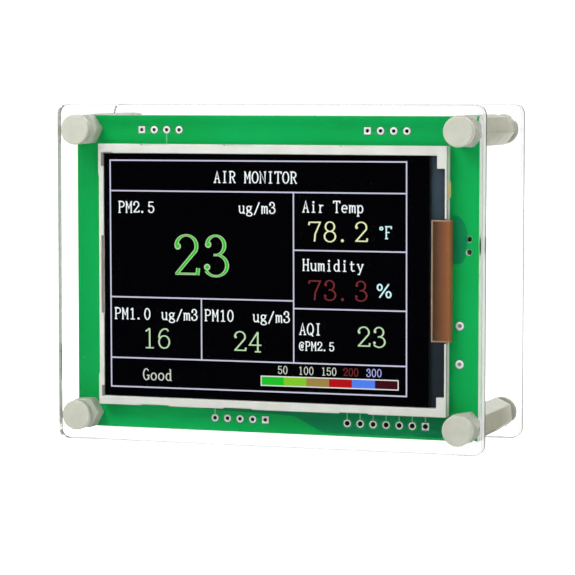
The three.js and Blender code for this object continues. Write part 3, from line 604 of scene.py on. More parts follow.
YELLOW_WIRE = surface("yellow_wire", (222, 184, 40), (206, 166, 30), rough=0.36, relief=0.004)
FERRITE = surface("ferrite", (58, 58, 62), (72, 71, 74), rough=0.7, grain=5.0, relief=0.03)
COPPER_WIRE = surface("copper_winding", (176, 96, 52), (156, 80, 40), rough=0.34, relief=0.01, Metallic=0.9)
CERAMIC = surface("capacitor_ceramic", (168, 132, 96), (150, 114, 80), rough=0.5, relief=0.006)


# ---------------------------------------------------------------- plates, board, fasteners

def screw_holes():
    return [disc(x, z, SCREW_HOLE, 40) for x, z in CORNERS.values()]


def add_plate(node_name):
    box = span(node_name)
    outline = footprint(box, "xz", PLATE_CORNER, 10)
    piece = Piece()
    piece.prism([outline, *screw_holes()], box.y0, box.y1, bevel=PLATE_RIM, side=1, rim=2)
    piece.done(node_name + "_sheet", ACRYLIC, ACRYLIC_EDGE, ACRYLIC_RIM, replaces=[node_name])


def add_screw(number, side):
    """Pan-head screw with a ribbed shank. The front one's head faces -Y, the rear one's +Y."""
    node_name = f"{side}_screw_{number}"
    box = span(node_name)
    way = 1 if side == "front" else -1
    head_face, tip = (box.y0, box.y1) if side == "front" else (box.y1, box.y0)
    length = abs(tip - head_face)
    head, radius, rim, root, crest = 1.6, 2.85, 0.35, 1.2, 1.42
    profile = [(0, 0.06), (1.1, 0.05), (radius - rim - 0.15, 0.0)]
    profile += [(radius - rim + rim * math.sin(t), rim - rim * math.cos(t)) for t in turns(6)]
    profile += [(radius, head - 0.12), (radius - 0.12, head), (crest, head)]
    pitch = 0.5
    for k in range(int((length - head - 0.6) / pitch)):
        base = head + 0.1 + k * pitch
        profile += [(root, base), (crest, base + pitch * 0.45), (crest, base + pitch * 0.6)]
    profile += [(root, length - 0.45), (0.95, length), (0, length)]
    piece = Piece()
    piece.lathe([(r, head_face + way * h) for r, h in profile], (box.x, box.z), sides=48)
    piece.done(node_name + "_nylon", NYLON, replaces=[node_name])


def add_hex_bar(node_name, turn, bore, material):
    """Hexagonal nylon bar with a bore, turned about its axis by this many degrees."""
    box = span(node_name)
    outline = fillet(disc(box.x, box.z, HEX_RADIUS, 6, math.radians(turn)), HEX_EDGE, 3)
    piece = Piece()
    piece.prism([outline, disc(box.x, box.z, bore, 28)], box.y0, box.y1, bevel=0.12, steps=2)
    piece.done(node_name + "_nylon", material, replaces=[node_name])


def pad(piece, x, z, outer, bore_radius, filled=False):
    """Plated hole: clear ring in the mask, a flange on each face, the barrel between them, and solder in it.

    The solder stays at the back, or fills the hole almost to the front. The barrel, and solder that stays at
    the back, are painted near-black as shade.
    """
    bore = disc(x, z, bore_radius, 24)
    solder = BOARD.y0 + 0.12 if filled else BOARD.y1 - 0.75
    bare = inset(outer, -0.12)
    piece.prism([bare, outer], BOARD.y0 - PRINT, BOARD.y0, slot=2)
    piece.prism([bare, outer], BOARD.y1, BOARD.y1 + PRINT, slot=2)
    piece.prism([outer, bore], BOARD.y0 - COPPER, BOARD.y0, bevel=0.015, far=0, steps=1)
    # The barrel carries painted shade.
    piece.prism([disc(x, z, DRILL, 24), bore], BOARD.y0, BOARD.y1, slot=1)
    piece.prism([outer, bore], BOARD.y1, BOARD.y1 + COPPER, bevel=0, far=0.015, steps=1)
    piece.lathe([(0, solder + 0.1), (bore_radius, solder), (bore_radius, BOARD.y1 + 0.05),
                 (0, BOARD.y1 + 0.15)], (x, z), sides=24, slot=3 if filled else 1)


def add_board():
    holes = screw_holes()
    pads = Piece()
    for x0, dz, count, square_index, bore in HEADER_ROWS:
        for i in range(count):
            x, z = x0 + i * HEADER_PITCH, BOARD.z + dz
            holes.append(disc(x, z, DRILL, 24))
            outer = square(x, z, SQUARE_PAD) if i == square_index else disc(x, z, PAD_RADIUS)
            pad(pads, x, z, outer, bore)
    for x, dz in WIRE_PADS:
        holes.append(disc(x, BOARD.z + dz, DRILL, 24))
        pad(pads, x, BOARD.z + dz, disc(x, BOARD.z + dz, WIRE_PAD_RADIUS), WIRE_BORE, filled=True)
    holes += [disc(x, BOARD.z + dz, DRILL, 24) for x, dz in PEGS]
    board = Piece()
    outline = rectangle(BOARD.x0, BOARD.x1, BOARD.z0, BOARD.z1)
    board.prism([outline, *holes], BOARD.y0, BOARD.y1, bevel=0.05, steps=1, side=1)
    board.done("main_board_laminate", MASK, CORE, replaces=["main_board"])
    pads.done("main_board_pads", TIN, SHADED_SOLDER, BARE, DULL_SOLDER, slot="green_board")


def add_copper():
    """Copper that shows through the solder mask on the board's front: tracks from pads, and two areas."""
    front = BOARD.y0
    tracks, areas = Piece(), Piece()
    # A hole's row and index, and the height where its track ends.
    pad_edge, width, upper_end, lower_end = 0.8, 0.2, 24.2, -24.6
    for row, i, end in [(0, 2, upper_end), (2, 0, lower_end), *[(3, i, lower_end) for i in range(7)]]:
        x0, dz = HEADER_ROWS[row][:2]
        x, edge = x0 + i * HEADER_PITCH, dz + math.copysign(pad_edge, -dz)
        tracks.stroke([(x, BOARD.z + edge), (x, BOARD.z + end)], width, front - TRACK_DEPTH, front)
    tracks.done("front_tracks", TRACK)
    x0, dz, count = HEADER_ROWS[3][:3]
    clear = [disc(x0 + i * HEADER_PITCH, BOARD.z + dz, 1.0, 24) for i in range(count)]
    low_area = [(-14.5, -25.9), (4, -26.5), (10, -29.5), (34.6, -29.5), (34.6, -23.9), (-14.5, -23.9)]
    round_area = [(34.9, 2.6), (37.2, 3.0), (38.0, 8.4), (36.9, 11.2), (34.9, 12.2)]
    for outline, radius, steps, holes in ((low_area, 0.8, 4, clear), (round_area, 1.6, 8, [])):
        outline = fillet([(x, BOARD.z + dz) for x, dz in outline], radius, steps)
        areas.prism([outline, *holes], front - AREA_DEPTH, front)
    areas.done("front_copper_areas", POUR)


# Bundles of tracks on the board's back: start, run in X, rise in Z, number of tracks, spacing.
BACK_ROUTES = [
    (-34.0, 18.2, 22.0, -3.0, 4, 0.5), (-9.5, 16.0, 17.0, 2.4, 4, 0.5), (19.6, 8.2, 12.5, -2.6, 3, 0.5),
    (35.0, 20.0, 2.6, 15.0, 4, 0.55), (-36.0, 22.0, -2.4, 30.0, 4, 0.55), (7.0, 20.5, -1.6, 33.0, 3, 0.55),
    (35.2, 43.0, 2.4, 12.0, 3, 0.6), (-13.0, 57.4, 26.0, 1.8, 3, 0.5), (20.0, 16.6, -3.0, -8.0, 2, 0.5),
]


def add_back_tracks():
    """Each track runs straight, steps aside at 45 degrees, and runs on, with a via at both ends."""
    back, width, via = BOARD.y1, 0.18, 0.3
    routes = Piece()
    for start_x, start_z, run, rise, count, step in BACK_ROUTES:
        level = abs(run) > abs(rise)
        ahead, aside = (run, rise) if level else (rise, run)
        bend, side = math.copysign(abs(aside) * 0.6, ahead), math.copysign(abs(aside) * 0.6, aside)
        for i in range(count):
            turn = ahead * 0.4 - math.copysign(i * step * 0.4, ahead)
            path = [(0, 0), (turn, 0), (turn + bend, side), (ahead, side)]
            if level:
                path = [(start_x + u, start_z + i * step + v) for u, v in path]
            else:
                path = [(start_x + i * step + v, start_z + u) for u, v in path]
            routes.stroke(path, width, back, back + TRACK_DEPTH)
            for x, z in (path[0], path[-1]):
                routes.prism([disc(x, z, via, 16)], back, back + TRACK_DEPTH + 0.002)
    routes.done("back_tracks", BACK_TRACK)


# ---------------------------------------------------------------- display

RAIL = SimpleNamespace(left=1.1, top=1.75, bottom=1.65, right=0.35)
LEDGE_LOW, LEDGE_HIGH = -21.3, 20.8
TAB_EDGE = 32.85
NOTCHES = (-25.8, -9.0, 14.0)
NOTCH_LENGTH, NOTCH_RISE = 5.8, 0.25
RECESS = 7.5


def add_display_frame():
    """White frame: tabs at its right corners, notched rails, a slotted right wall, a recess on the left."""
    cx, cz = MIDDLE
    left, right, low, high = DISPLAY.x0 - cx, DISPLAY.x1 - cx, DISPLAY.z0 - cz, DISPLAY.z1 - cz
    inner_left, inner_right = left + RAIL.left, right - RAIL.right
    inner_low, inner_high = low + RAIL.bottom, high - RAIL.top
    slope, wedge = 0.15, 0.2

    def window(recess):
        """Opening of the frame, from the right wall round to its upper end."""
        deep = inner_left - recess
        lower = [(inner_right, LEDGE_LOW), (TAB_EDGE, LEDGE_LOW), (TAB_EDGE, inner_low),
                 (inner_left, inner_low), (inner_left, -RECESS - slope), (deep, -RECESS + slope)]
        upper = [(deep, RECESS - slope), (inner_left, RECESS + slope), (inner_left, inner_high),
                 (TAB_EDGE, inner_high), (TAB_EDGE, LEDGE_HIGH), (inner_right, LEDGE_HIGH)]
        return lower + upper

    def outer(rise):
        """Outline from the lower right corner to the upper right one, with notches of this depth."""
        rim = [(right, low)]
        for x in NOTCHES[::-1]:
            rim += [(x + NOTCH_LENGTH, low), (x + NOTCH_LENGTH - wedge, low + rise), (x + wedge, low + rise),
                    (x, low)]
        rim += [(left, low), (left, -19.2), (left + slope, -19.0), (left + slope, 18.9), (left, 19.1),
                (left, high)]
        for x in NOTCHES:
            rim += [(x, high), (x + wedge, high - rise), (x + NOTCH_LENGTH - wedge, high - rise),
                    (x + NOTCH_LENGTH, high)]
        return rim + [(right, high)]

    def broken(z0, z1, recess=0.0, rise=NOTCH_RISE):
        """The ring with its thin right wall taken away between z0 and z1."""
        ends = [(right, z1), (inner_right, z1)], [(inner_right, z0), (right, z0)]
        return outer(rise) + ends[0] + window(recess)[::-1] + ends[1]

    def place(loop):
        return fillet([(x + cx, z + cz) for x, z in loop], 0.12, 3)

    front, back = DISPLAY.y0, DISPLAY.y1
    lip, floor = front + 0.3, back - 0.34
    piece = Piece()
    flex = span("display_flex")
    flex_gap = flex.z0 - cz - 0.25, flex.z1 - cz + 0.25
    wall_gap = LEDGE_LOW + 0.6, 15.1
    no_notch = 0.01
    piece.prism([place(broken(*flex_gap, recess=0.5))], front, lip, bevel=0.12, far=0)
    # The walls of this layer carry painted shade.
    piece.prism([place(broken(*flex_gap))], lip, front + 0.6, side=1)
    piece.prism([place(broken(*wall_gap))], front + 0.6, front + 1.4)
    piece.prism([place(broken(*wall_gap, rise=no_notch))], front + 1.4, back - 0.6)
    piece.prism([place(outer(no_notch)), place(window(0.0))], back - 0.6, floor)
    piece.prism([place(outer(no_notch))], floor, back, bevel=0, far=0.1)
    # Thin dark blocks of painted shade along the window's left edge, in its recess, and at the left end of
    # the top rail.
    shade = Piece()
    raised, sunk = front - 0.004, front + 0.24
    for x0, x1, z0, z1, top in ((-0.48, 0.12, -RECESS + 0.1, RECESS - 0.1, sunk),
                                (-0.5, 0.02, inner_low - 0.1, -21.3, raised),
                                (-0.5, 0.02, 20.7, inner_high + 0.1, raised),
                                (0, 1.9, inner_high - 0.05, inner_high + 0.2, raised)):
        shade.block(inner_left + x0 + cx, inner_left + x1 + cx, top, lip, z0 + cz, z1 + cz, 0.02)
    piece.done("display_frame_moulding", FRAME_PLASTIC, SHADED_PLASTIC, replaces=["display_frame"])
    shade.done("display_frame_painted_shade", SHADED_PLASTIC)


def add_panes():
    for node_name, name, material, bevel in (
            ("display_polariser", "display_polariser_film", FACE, 0.03),
            ("display_upper_glass", "display_upper_pane", GLASS, 0.06),
            ("display_lower_glass", "display_lower_pane", LEDGE, 0.06)):
        box = span(node_name)
        piece = Piece()
        piece.block(box.x0, box.x1, box.y0, box.y1, box.z0, box.z1, bevel)
        piece.done(name, material, replaces=[node_name])


def add_flex():
    """Flexible circuit: a sheet from the glass ledge round the frame's side to under the display."""
    box = span("display_flex")
    thick, bend, bulge, rim = 0.12, 0.5, 0.05, 0.28
    front, back, right = box.y0 + thick / 2, box.y1 - thick / 2, box.x1 - thick / 2
    line = [(span("display_upper_glass").x1 + 0.15, front)]
    line += [(right - bend + bend * math.sin(t), front + bend - bend * math.cos(t)) for t in turns(6)]
    line += [(right - bulge * math.sin(math.pi * k / 6), front + bend + (back - front - 2 * bend) * k / 6)
             for k in range(1, 6)]
    line += [(right - bend + bend * math.cos(t), back - bend + bend * math.sin(t)) for t in turns(6)]
    line += [(box.x0, back)]
    piece = Piece()
    piece.stroke(line, thick, box.z0, box.z1, axis="z")
    lifted = [(x, y - 0.008) for x, y in line[:6]]
    for z0, z1 in ((box.z0, box.z0 + rim), (box.z1 - rim, box.z1)):
        piece.stroke(lifted, thick + 0.01, z0 + 0.004, z1 - 0.004, slot=1, axis="z")
    start_x = line[0][0]
    piece.block(start_x - 0.01, start_x + rim, box.y0 - 0.012, box.y0 + 0.02, box.z0 + rim, box.z1 - rim, 0,
                slot=1)
    piece.done("display_flex_sheet", FLEX, FLEX_RIM, replaces=["display_flex"])


def add_backlight_tab():
    """Strip that leaves the display's back and folds forward along the frame's side."""
    box = span("display_backlight_tab")
    thick = 0.14
    side, under = box.x1 - thick / 2, box.y1 - thick / 2
    line = [(side, box.y0), (side, box.y1 - 0.3), (box.x1 - 0.16, box.y1 - 0.12), (box.x1 - 0.4, under),
            (box.x0, under)]
    piece = Piece()
    piece.stroke(line, thick, box.z0, box.z1, axis="z")
    piece.done("display_backlight_strip", TAB, replaces=["display_backlight_tab"])


# ---------------------------------------------------------------- the lit picture

# Letters and figures as pen strokes in a cell 8 wide, capitals 11 high. "x,z" is a point,
# "x,z,rx,rz,from,to" an arc about x,z in degrees, and a lone "*x,z,r" a round spot.
GLYPHS = {
    " ": [],
    "0": ["4,5.5,2.7,5.5,0,360"],
    "1": ["4.2,0 4.2,11", "2,9.2 4.2,11", "2,0 6.4,0"],
    "2": ["1.3,8.2 4,8.1,2.7,2.9,170,-25 1.3,.5", "1,.6 7,.6", "6.9,.3 7.1,2.2", "*1.7,8,.8"],
    "3": ["1.5,9 3.8,8.4,2.3,2.6,150,-80 3.2,5.8", "3.2,5.8 3.8,3,3,2.9,80,-150", "*1.8,8.6,.8",
          "*1.5,2.5,.8"],
    "4": ["5.4,0 5.4,11", "5.4,11 1,3.7 7.3,3.7", "3.8,0 7,0"],
    "5": ["6.5,10.7 1.9,10.7 1.6,5.8", "1.6,5.8 3.9,3.5,2.9,3.3,130,-150", "*1.6,2.2,.7"],
    "6": ["6.3,9.6 4.6,5.8,3.4,5.1,75,180", "4,3.5,2.8,3.5,0,360"],
    "7": ["1.1,9 1.4,10.6", "1.2,10.6 7,10.6 4.4,4.2 4,0"],
    "8": ["4,8.3,2.3,2.6,0,360", "4,2.9,2.8,2.9,0,360"],
    ".": ["*2.4,.7,.9"],
    "/": ["1.2,-1.6 6.6,11"],
    "%": [".6,8.3,1.9,2.4,0,360", "8,2.6,1.9,2.4,0,360", "8.2,11 .4,0"],
    "'": ["5.2,9.3,1.3,1.3,0,360"],
    "@": ["4,5.2,3.2,5.2,-50,-330", "4.4,5,1.3,2,0,360"],
    "A": [".3,0 3,0", "5,0 7.7,0", "1.5,0 4,11 6.5,0", "2.4,4 5.6,4"],
    "F": ["2,0 2,11", ".8,11 6.8,11 6.8,8.8", "2,5.7 5.2,5.7", ".8,0 3.8,0"],
    "G": ["6.5,9.4 4,5.5,3,5.5,45,315 6.4,2.2", "4.6,4.6 7.4,4.6", "6.5,4.6 6.5,.3"],
    "H": ["1.7,0 1.7,11", "6.3,0 6.3,11", "1.7,5.6 6.3,5.6", ".5,0 2.9,0", "5.1,0 7.5,0",
          ".5,11 2.9,11", "5.1,11 7.5,11"],
    "I": ["4,0 4,11", "2.2,0 5.8,0", "2.2,11 5.8,11"],
    "M": ["1.5,0 1.5,11", "6.5,0 6.5,11", "1.5,11 4,4 6.5,11", ".5,0 2.4,0", "5.6,0 7.5,0", ".5,11 1.5,11",
          "6.5,11 7.5,11"],
    "N": ["1.6,0 1.6,11 6.4,0 6.4,11", ".5,0 2.7,0", ".5,11 1.6,11", "5.3,11 7.5,11"],
    "O": ["4,5.5,3,5.5,0,360"],
    "P": ["1.9,0 1.9,11", ".6,11 4.2,11 4.2,8.2,2.6,2.8,90,-90 1.9,5.4", ".6,0 3.4,0"],
    "Q": ["4,5.5,3,5.5,0,360", "4.2,2.2 6.8,-1.6"],
    "R": ["1.9,0 1.9,11", ".6,11 4,11 4,8.3,2.5,2.7,90,-90 1.9,5.6", "4,5.6 6.6,0", ".6,0 3.2,0",
          "6,0 7.6,0"],
    "T": ["4,0 4,11", ".8,9 .8,11 7.2,11 7.2,9", "2.6,0 5.4,0"],
    "d": ["6,0 6,11", "4.8,11 6,11", "3.8,3.5,2.4,3.5,0,360", "6,0 7.4,0"],
    "e": ["1.4,3.8 6.6,3.8 4,3.6,2.6,3.5,0,315"],
    "g": ["3.6,4.9,2.1,2.1,0,360", "5.2,6.4 7,6.9", "2.3,3 2,1.6 5.6,1 4,-1,2.8,1.7,55,-240"],
    "i": ["2.6,7 4,7 4,0", "2.2,0 5.8,0", "*4,9.8,.9"],
    "m": ["1.4,0 1.4,7", ".4,7 1.4,7", "1.4,5.6 2.7,7 3.9,6.4 4,0", "4,5.6 5.4,7 6.6,6.4 6.7,0",
          ".6,0 2.1,0", "6,0 7.5,0"],
    "o": ["4,3.5,2.7,3.5,0,360"],
    "p": ["1.8,-3.2 1.8,7", ".6,7 1.8,7", "4.2,3.5,2.4,3.5,0,360", ".6,-3.2 3.2,-3.2"],
    "r": ["1.6,7 2.9,7 2.9,0", "1.4,0 4.6,0", "2.9,4.8 4.6,6.9 6.4,6.6"],
    "t": ["3.2,9.8 3.2,1.8 4.2,.2 6.4,.8", "1.4,7 6,7"],
    "u": [".6,7 1.8,7 1.8,2 2.8,.2 4.4,.2 6,1.8", "5,7 6.1,7 6.1,0 7.4,0"],
    "y": ["1.6,7 4.3,.6", "6.6,7 3.2,-2.8 1.4,-2.6", ".5,7 2.8,7", "5.4,7 7.6,7"],
}
CELL = 8
PICTURE_TILT = math.radians(0.15)
LINE_WIDTH, SCALE_LINE_WIDTH = 0.26, 0.2
SMALL, MEDIUM, LARGE = 0.19, 0.38, 0.76
SCALE_TEXT = 0.13

# Pen for each cell scale: width of upright strokes, width of level strokes, height of the letters.
PENS = {LARGE: (1.05, 0.55, 0.925), MEDIUM: (0.85, 0.62, 0.89), SMALL: (1.3, 1.0, 1.0),
        SCALE_TEXT: (1.3, 1.1, 1.0)}
OTHER_PEN = (1.4, 1.15, 1.0)
CORE_PEN = (0.62, 0.2, 0.925)

# The picture's border and the lines inside it, from the display's centre.
PICTURE = SimpleNamespace(x0=-31.93, x1=27.05, z0=-21.38, z1=21.9)
TITLE_LINE, WIDE_LINE, LEFT_LINE, RIGHT_LINES = 16.09, -15.83, -4.19, (5.31, -5.61)
MIDDLE_X, QUARTER_X = 5.04, -13.42

# What the picture says: piece, words, place of the first cell's lower left corner, cell scale.
PHRASES = [
    ("words", "AIR MONITOR", -10.9, 17.8, SMALL), ("words", "PM2.5", -30.4, 11.95, SMALL),
    ("words", "ug/m3", -6.0, 12.1, SMALL), ("words", "Air Temp", 6.7, 12.45, SMALL),
    ("words", "Humidity", 6.7, 1.55, SMALL), ("words", "PM1.0", -31.3, -8.4, SMALL),
    ("words", "ug/m3", -21.7, -8.35, SMALL), ("words", "PM10", -12.9, -8.35, SMALL),
    ("words", "ug/m3", -3.2, -8.3, SMALL), ("words", "AQI", 6.05, -10.45, SMALL),
    ("words", "@PM2.5", 6.05, -13.4, 0.147),
    ("units", "'F", 21.15, 7.75, 0.2), ("units", "%", 21.75, -3.2, 0.23),
    ("level", "23", -19.45, 0.05, LARGE),
    ("readings", "16", -25.6, -13.8, MEDIUM), ("readings", "24", -7.2, -13.95, MEDIUM),
    ("readings", "23", 17.25, -12.45, MEDIUM), ("temperature", "78.2", 7.65, 7.0, MEDIUM),
    ("humidity", "73.3", 7.65, -3.95, MEDIUM), ("state", "Good", -25.5, -19.95, SMALL),
    ("state", "50", 1.8, -17.95, SCALE_TEXT), ("state", "100", 5.9, -17.95, SCALE_TEXT),
    ("state", "150", 10.4, -17.95, SCALE_TEXT), ("alarm", "200", 14.7, -17.95, SCALE_TEXT),
    ("extreme", "300", 19.2, -17.95, SCALE_TEXT),
]
PHRASE_COLOURS = {
    "words": (246, 252, 253), "units": (206, 244, 246), "level": (176, 212, 160),
    "readings": (190, 222, 178), "temperature": (232, 238, 184), "humidity": (118, 44, 48),
    "state": (204, 212, 198), "alarm": (116, 44, 44), "extreme": (176, 178, 240),
}
SCALE_COLOURS = [(34, 190, 44), (130, 200, 44), (158, 132, 70), (176, 20, 26), (82, 128, 240), (62, 14, 26)]
SCALE_BAR = (-1.45, 25.45, -20.25, -18.5)
PICTURE_DEPTH = 0.012


def on_screen(x, z):
    """A place in the picture, turned with it and moved to the display."""
    mx, mz = (PICTURE.x0 + PICTURE.x1) / 2, (PICTURE.z0 + PICTURE.z1) / 2
    cos, sin = math.cos(PICTURE_TILT), math.sin(PICTURE_TILT)
    x, z = x - mx, z - mz
    return (MIDDLE[0] + mx + x * cos - z * sin, MIDDLE[1] + mz + x * sin + z * cos)


def pen_line(text):
    points = []
    for word in text.split():
        numbers = [float(n) for n in word.split(",")]
        if len(numbers) == 2:
            points.append(tuple(numbers))
            continue
        x, z, rx, rz, first, last = numbers
        steps = max(4, round(abs(last - first) / 15))
        angles = [math.radians(first + (last - first) * k / steps) for k in range(steps + 1)]
        points += [(x + rx * math.cos(a), z + rz * math.sin(a)) for a in angles]
    return points


def write(piece, text, x, z, scale, pen, back, depth):
    """Draws text with a flat pen, given in cell units."""
    front = back - depth
    upright, level, tall = pen
    width = lambda along: scale * math.hypot(upright * along.y, level * along.x)
    for i, letter in enumerate(text):
        for mark in GLYPHS[letter]:
            if mark[0] == "*":
                cx, cz, radius = (float(n) for n in mark[1:].split(","))
                centre = on_screen(x + (i * CELL + cx) * scale, z + cz * scale * tall)
                piece.prism([disc(*centre, radius * scale * upright, 14)], front, back)
                continue
            line = [on_screen(x + (i * CELL + u) * scale, z + v * scale * tall) for u, v in pen_line(mark)]
            piece.stroke(line, width, front, back)


def add_picture():
    """The picture's lines and words, the level's bright core, and the colour scale."""
    back = SCREEN.y0

    def show(name, colour, fill):
        """Adds one lit piece, drawn by fill."""
        piece = Piece()
        fill(piece)
        piece.done("picture_" + name, lit("lit_" + name, *colour))

    def ruled(paths, width):
        return lambda piece: [piece.stroke([on_screen(*p) for p in path], width, back - PICTURE_DEPTH, back)
                              for path in paths]

    def written(kind, depth, pen=None):
        return lambda piece: [write(piece, text, x, z, scale, pen or PENS.get(scale, OTHER_PEN), back, depth)
                              for word, text, x, z, scale in PHRASES if word == kind]

    x0, x1, z0, z1 = PICTURE.x0, PICTURE.x1, PICTURE.z0, PICTURE.z1
    paths = [[(x0, z0), (x1, z0), (x1, z1), (x0, z1), (x0, z0)],
             [(x0, TITLE_LINE), (x1, TITLE_LINE)], [(x0, WIDE_LINE), (x1, WIDE_LINE)],
             [(x0, LEFT_LINE), (MIDDLE_X, LEFT_LINE)], [(MIDDLE_X, TITLE_LINE), (MIDDLE_X, WIDE_LINE)],
             [(QUARTER_X, LEFT_LINE), (QUARTER_X, WIDE_LINE)]]
    paths += [[(MIDDLE_X, z), (x1, z)] for z in RIGHT_LINES]
    show("lines", (204, 204, 226), ruled(paths, LINE_WIDTH))
    for kind, colour in PHRASE_COLOURS.items():
        show(kind, colour, written(kind, PICTURE_DEPTH * 0.8))
    show("level_core", (58, 196, 50), written("level", PICTURE_DEPTH * 1.2, CORE_PEN))

    bar = rectangle(*SCALE_BAR)
    show("scale_outline", (226, 230, 222), ruled([bar + bar[:1]], SCALE_LINE_WIDTH))
    x0, x1, z0, z1 = SCALE_BAR
    step = (x1 - x0) / len(SCALE_COLOURS)
    for i, colour in enumerate(SCALE_COLOURS):
        corners = [on_screen(*p) for p in rectangle(x0 + i * step, x0 + (i + 1) * step, z0, z1)]
        front = back - PICTURE_DEPTH * 0.7
        show(f"scale_{i + 1}", colour, lambda piece: piece.prism([corners], front, back))


# ---------------------------------------------------------------- laser particle sensor

def add_sensor_shell():
    """Case with an opening for its plug, and a cover with outlet slots and a ringed fan guard."""
    case, cover = span("sensor_case"), span("sensor_cover")
    wall, corner = 1.0, 1.2
    outline = footprint(case, "xz", corner, 5)
    plug = span("sensor_socket")
    mouth0, mouth1 = plug.x0 - 0.3, plug.x1 + 0.3
    hollow = footprint(case, "xz", 0.5, 3, wall=wall)
    broken = fillet([
        (mouth0, case.z0), (mouth0, case.z0 + wall), (case.x0 + wall, case.z0 + wall),
        (case.x0 + wall, case.z1 - wall), (case.x1 - wall, case.z1 - wall), (case.x1 - wall, case.z0 + wall),
        (mouth1, case.z0 + wall), (mouth1, case.z0), (case.x1, case.z0), (case.x1, case.z1),
        (case.x0, case.z1), (case.x0, case.z0)], 0.5, 3)
    piece = Piece()
    piece.prism([outline], case.y0, case.y0 + wall, bevel=0.3, far=0)
    piece.prism([broken], case.y0 + wall, plug.y1 + 0.3)
    piece.prism([outline, hollow], plug.y1 + 0.3, case.y1, bevel=0, far=0.1)
    rib_low, rib_high = case.y1 - 3.2, case.y1 - 0.6
    for x in (case.x0 + 6, case.x1 - 6):
        piece.prism([rectangle(x - 1.8, x + 1.8, rib_low, rib_high)], case.z1 - 0.05, case.z1 + 0.25, "z",
                    bevel=0, far=0.15)
    for z in (case.z0 + 8, case.z0 + 26):
        piece.prism([rounded(rib_low, rib_high, z - 2, z + 2, 0.2)], case.x1 - 0.05, case.x1 + 0.25, "x",
                    bevel=0, far=0.15)
    piece.done("sensor_case_shell", SENSOR_PLASTIC, replaces=["sensor_case"])

    fan = span("fan_housing")
    lid = Piece()
    slots = [rounded(x, x + 0.9, 42, 52, 0.4, 3) for x in (-7.5 + i * 1.9 for i in range(6))]
    guard = slotted_disc(fan.x, fan.z, 8.8, 3.2, 3, 0.8)
    lid.prism([outline, *guard, *slots], cover.y0, cover.y1, bevel=0, far=0.25)
    rings = Piece()
    for radius in (5.0, 6.9):
        profile = rectangle(radius - 0.22, radius + 0.22, cover.y0 + 0.15, cover.y1 - 0.15)
        rings.lathe(profile, (fan.x, fan.z), sides=64)
    rings.lathe([(0, cover.y1 - 0.05), (1.4, cover.y1 - 0.05), (1.55, cover.y1 - 0.1), (1.6, cover.y1 - 0.3),
                 (0, cover.y1 - 0.3)][::-1], (fan.x, fan.z))
    lid.done("sensor_cover_shell", SENSOR_PLASTIC, replaces=["sensor_cover"])
    rings.done("sensor_cover_guard_rings", SENSOR_PLASTIC)


AXLE_BORE = 0.56


def add_fan_housing():
    """Square frame with a round duct, and a boss for the axle on three arms."""
    box = span("fan_housing")
    centre = (box.x, box.z)
    piece = Piece()
    outline = footprint(box, "xz", 1.2, 5)
    duct = disc(*centre, 9.0, 64)
    piece.prism([outline, duct], box.y0, box.y1, bevel=0.2, far=0.35)
    piece.lathe(rectangle(AXLE_BORE, 4.0, box.y0, box.y0 + 0.8), centre)
    for angle in (30, 150, 270):
        way = Vector((math.cos(math.radians(angle)), math.sin(math.radians(angle))))
        ends = [tuple(Vector(centre) + way * r) for r in (3.8, 9.2)]
        piece.stroke(ends, 1.2, box.y0 + 0.05, box.y0 + 0.75)
    piece.done("fan_housing_frame", BLACK, replaces=["fan_housing"])


def add_fan_rotor():
    """Hub with seven twisted blades, each lofted from its root to its tip."""
    rotor, housing = span("fan_rotor"), span("fan_housing")
    centre = (housing.x, housing.z)
    turning = Piece()
    hub, tip, blades, sections = 3.7, 8.4, 7, 8
    y0, y1 = rotor.y0, rotor.y1
    turning.lathe([(AXLE_BORE, y0), (hub, y0), (hub, y1 - 0.4), (hub - 0.12, y1 - 0.12), (hub - 0.4, y1),
                   (1.4, y1), (1.2, y1 - 0.2), (0, y1 - 0.2), (0, y1 - 0.8), (AXLE_BORE, y1 - 0.8)],
                  centre, sides=48)
    foil = ((-1, 0.0), (-0.4, 0.16), (0.3, 0.2), (1, 0.0), (0.3, -0.14), (-0.4, -0.14))
    for k in range(blades):
        rings = []
        for i in range(sections + 1):
            share = i / sections
            radius = hub - 0.15 + (tip - hub + 0.15) * share
            turn = math.tau * k / blades + 0.22 * share
            pitch = math.radians(50 - 12 * share)
            radial = Vector((math.cos(turn), math.sin(turn)))
            along = Vector((-radial.y, radial.x))
            chord = 2.6 + 0.5 * share
            section = []
            for s, offset in foil:
                sweep, lift = s * chord * math.cos(pitch), s * chord * math.sin(pitch)
                spot = Vector(centre) + radial * radius + along * (sweep - offset * math.sin(pitch))
                height = (y0 + y1) / 2 + max(-2.3, min(2.3, lift * 0.95 + offset * math.cos(pitch)))
                section.append(turning.mesh.verts.new(Vector((spot.x, height, spot.y)) * MM))
            rings.append(section)
        for near, far in zip(rings, rings[1:]):
            turning.walls(near, far, 0)
        turning.face(rings[0], 0)
        turning.face(rings[-1], 0)
    turning.done("fan_rotor_blades", PACKAGE, replaces=["fan_rotor"], body="fan")


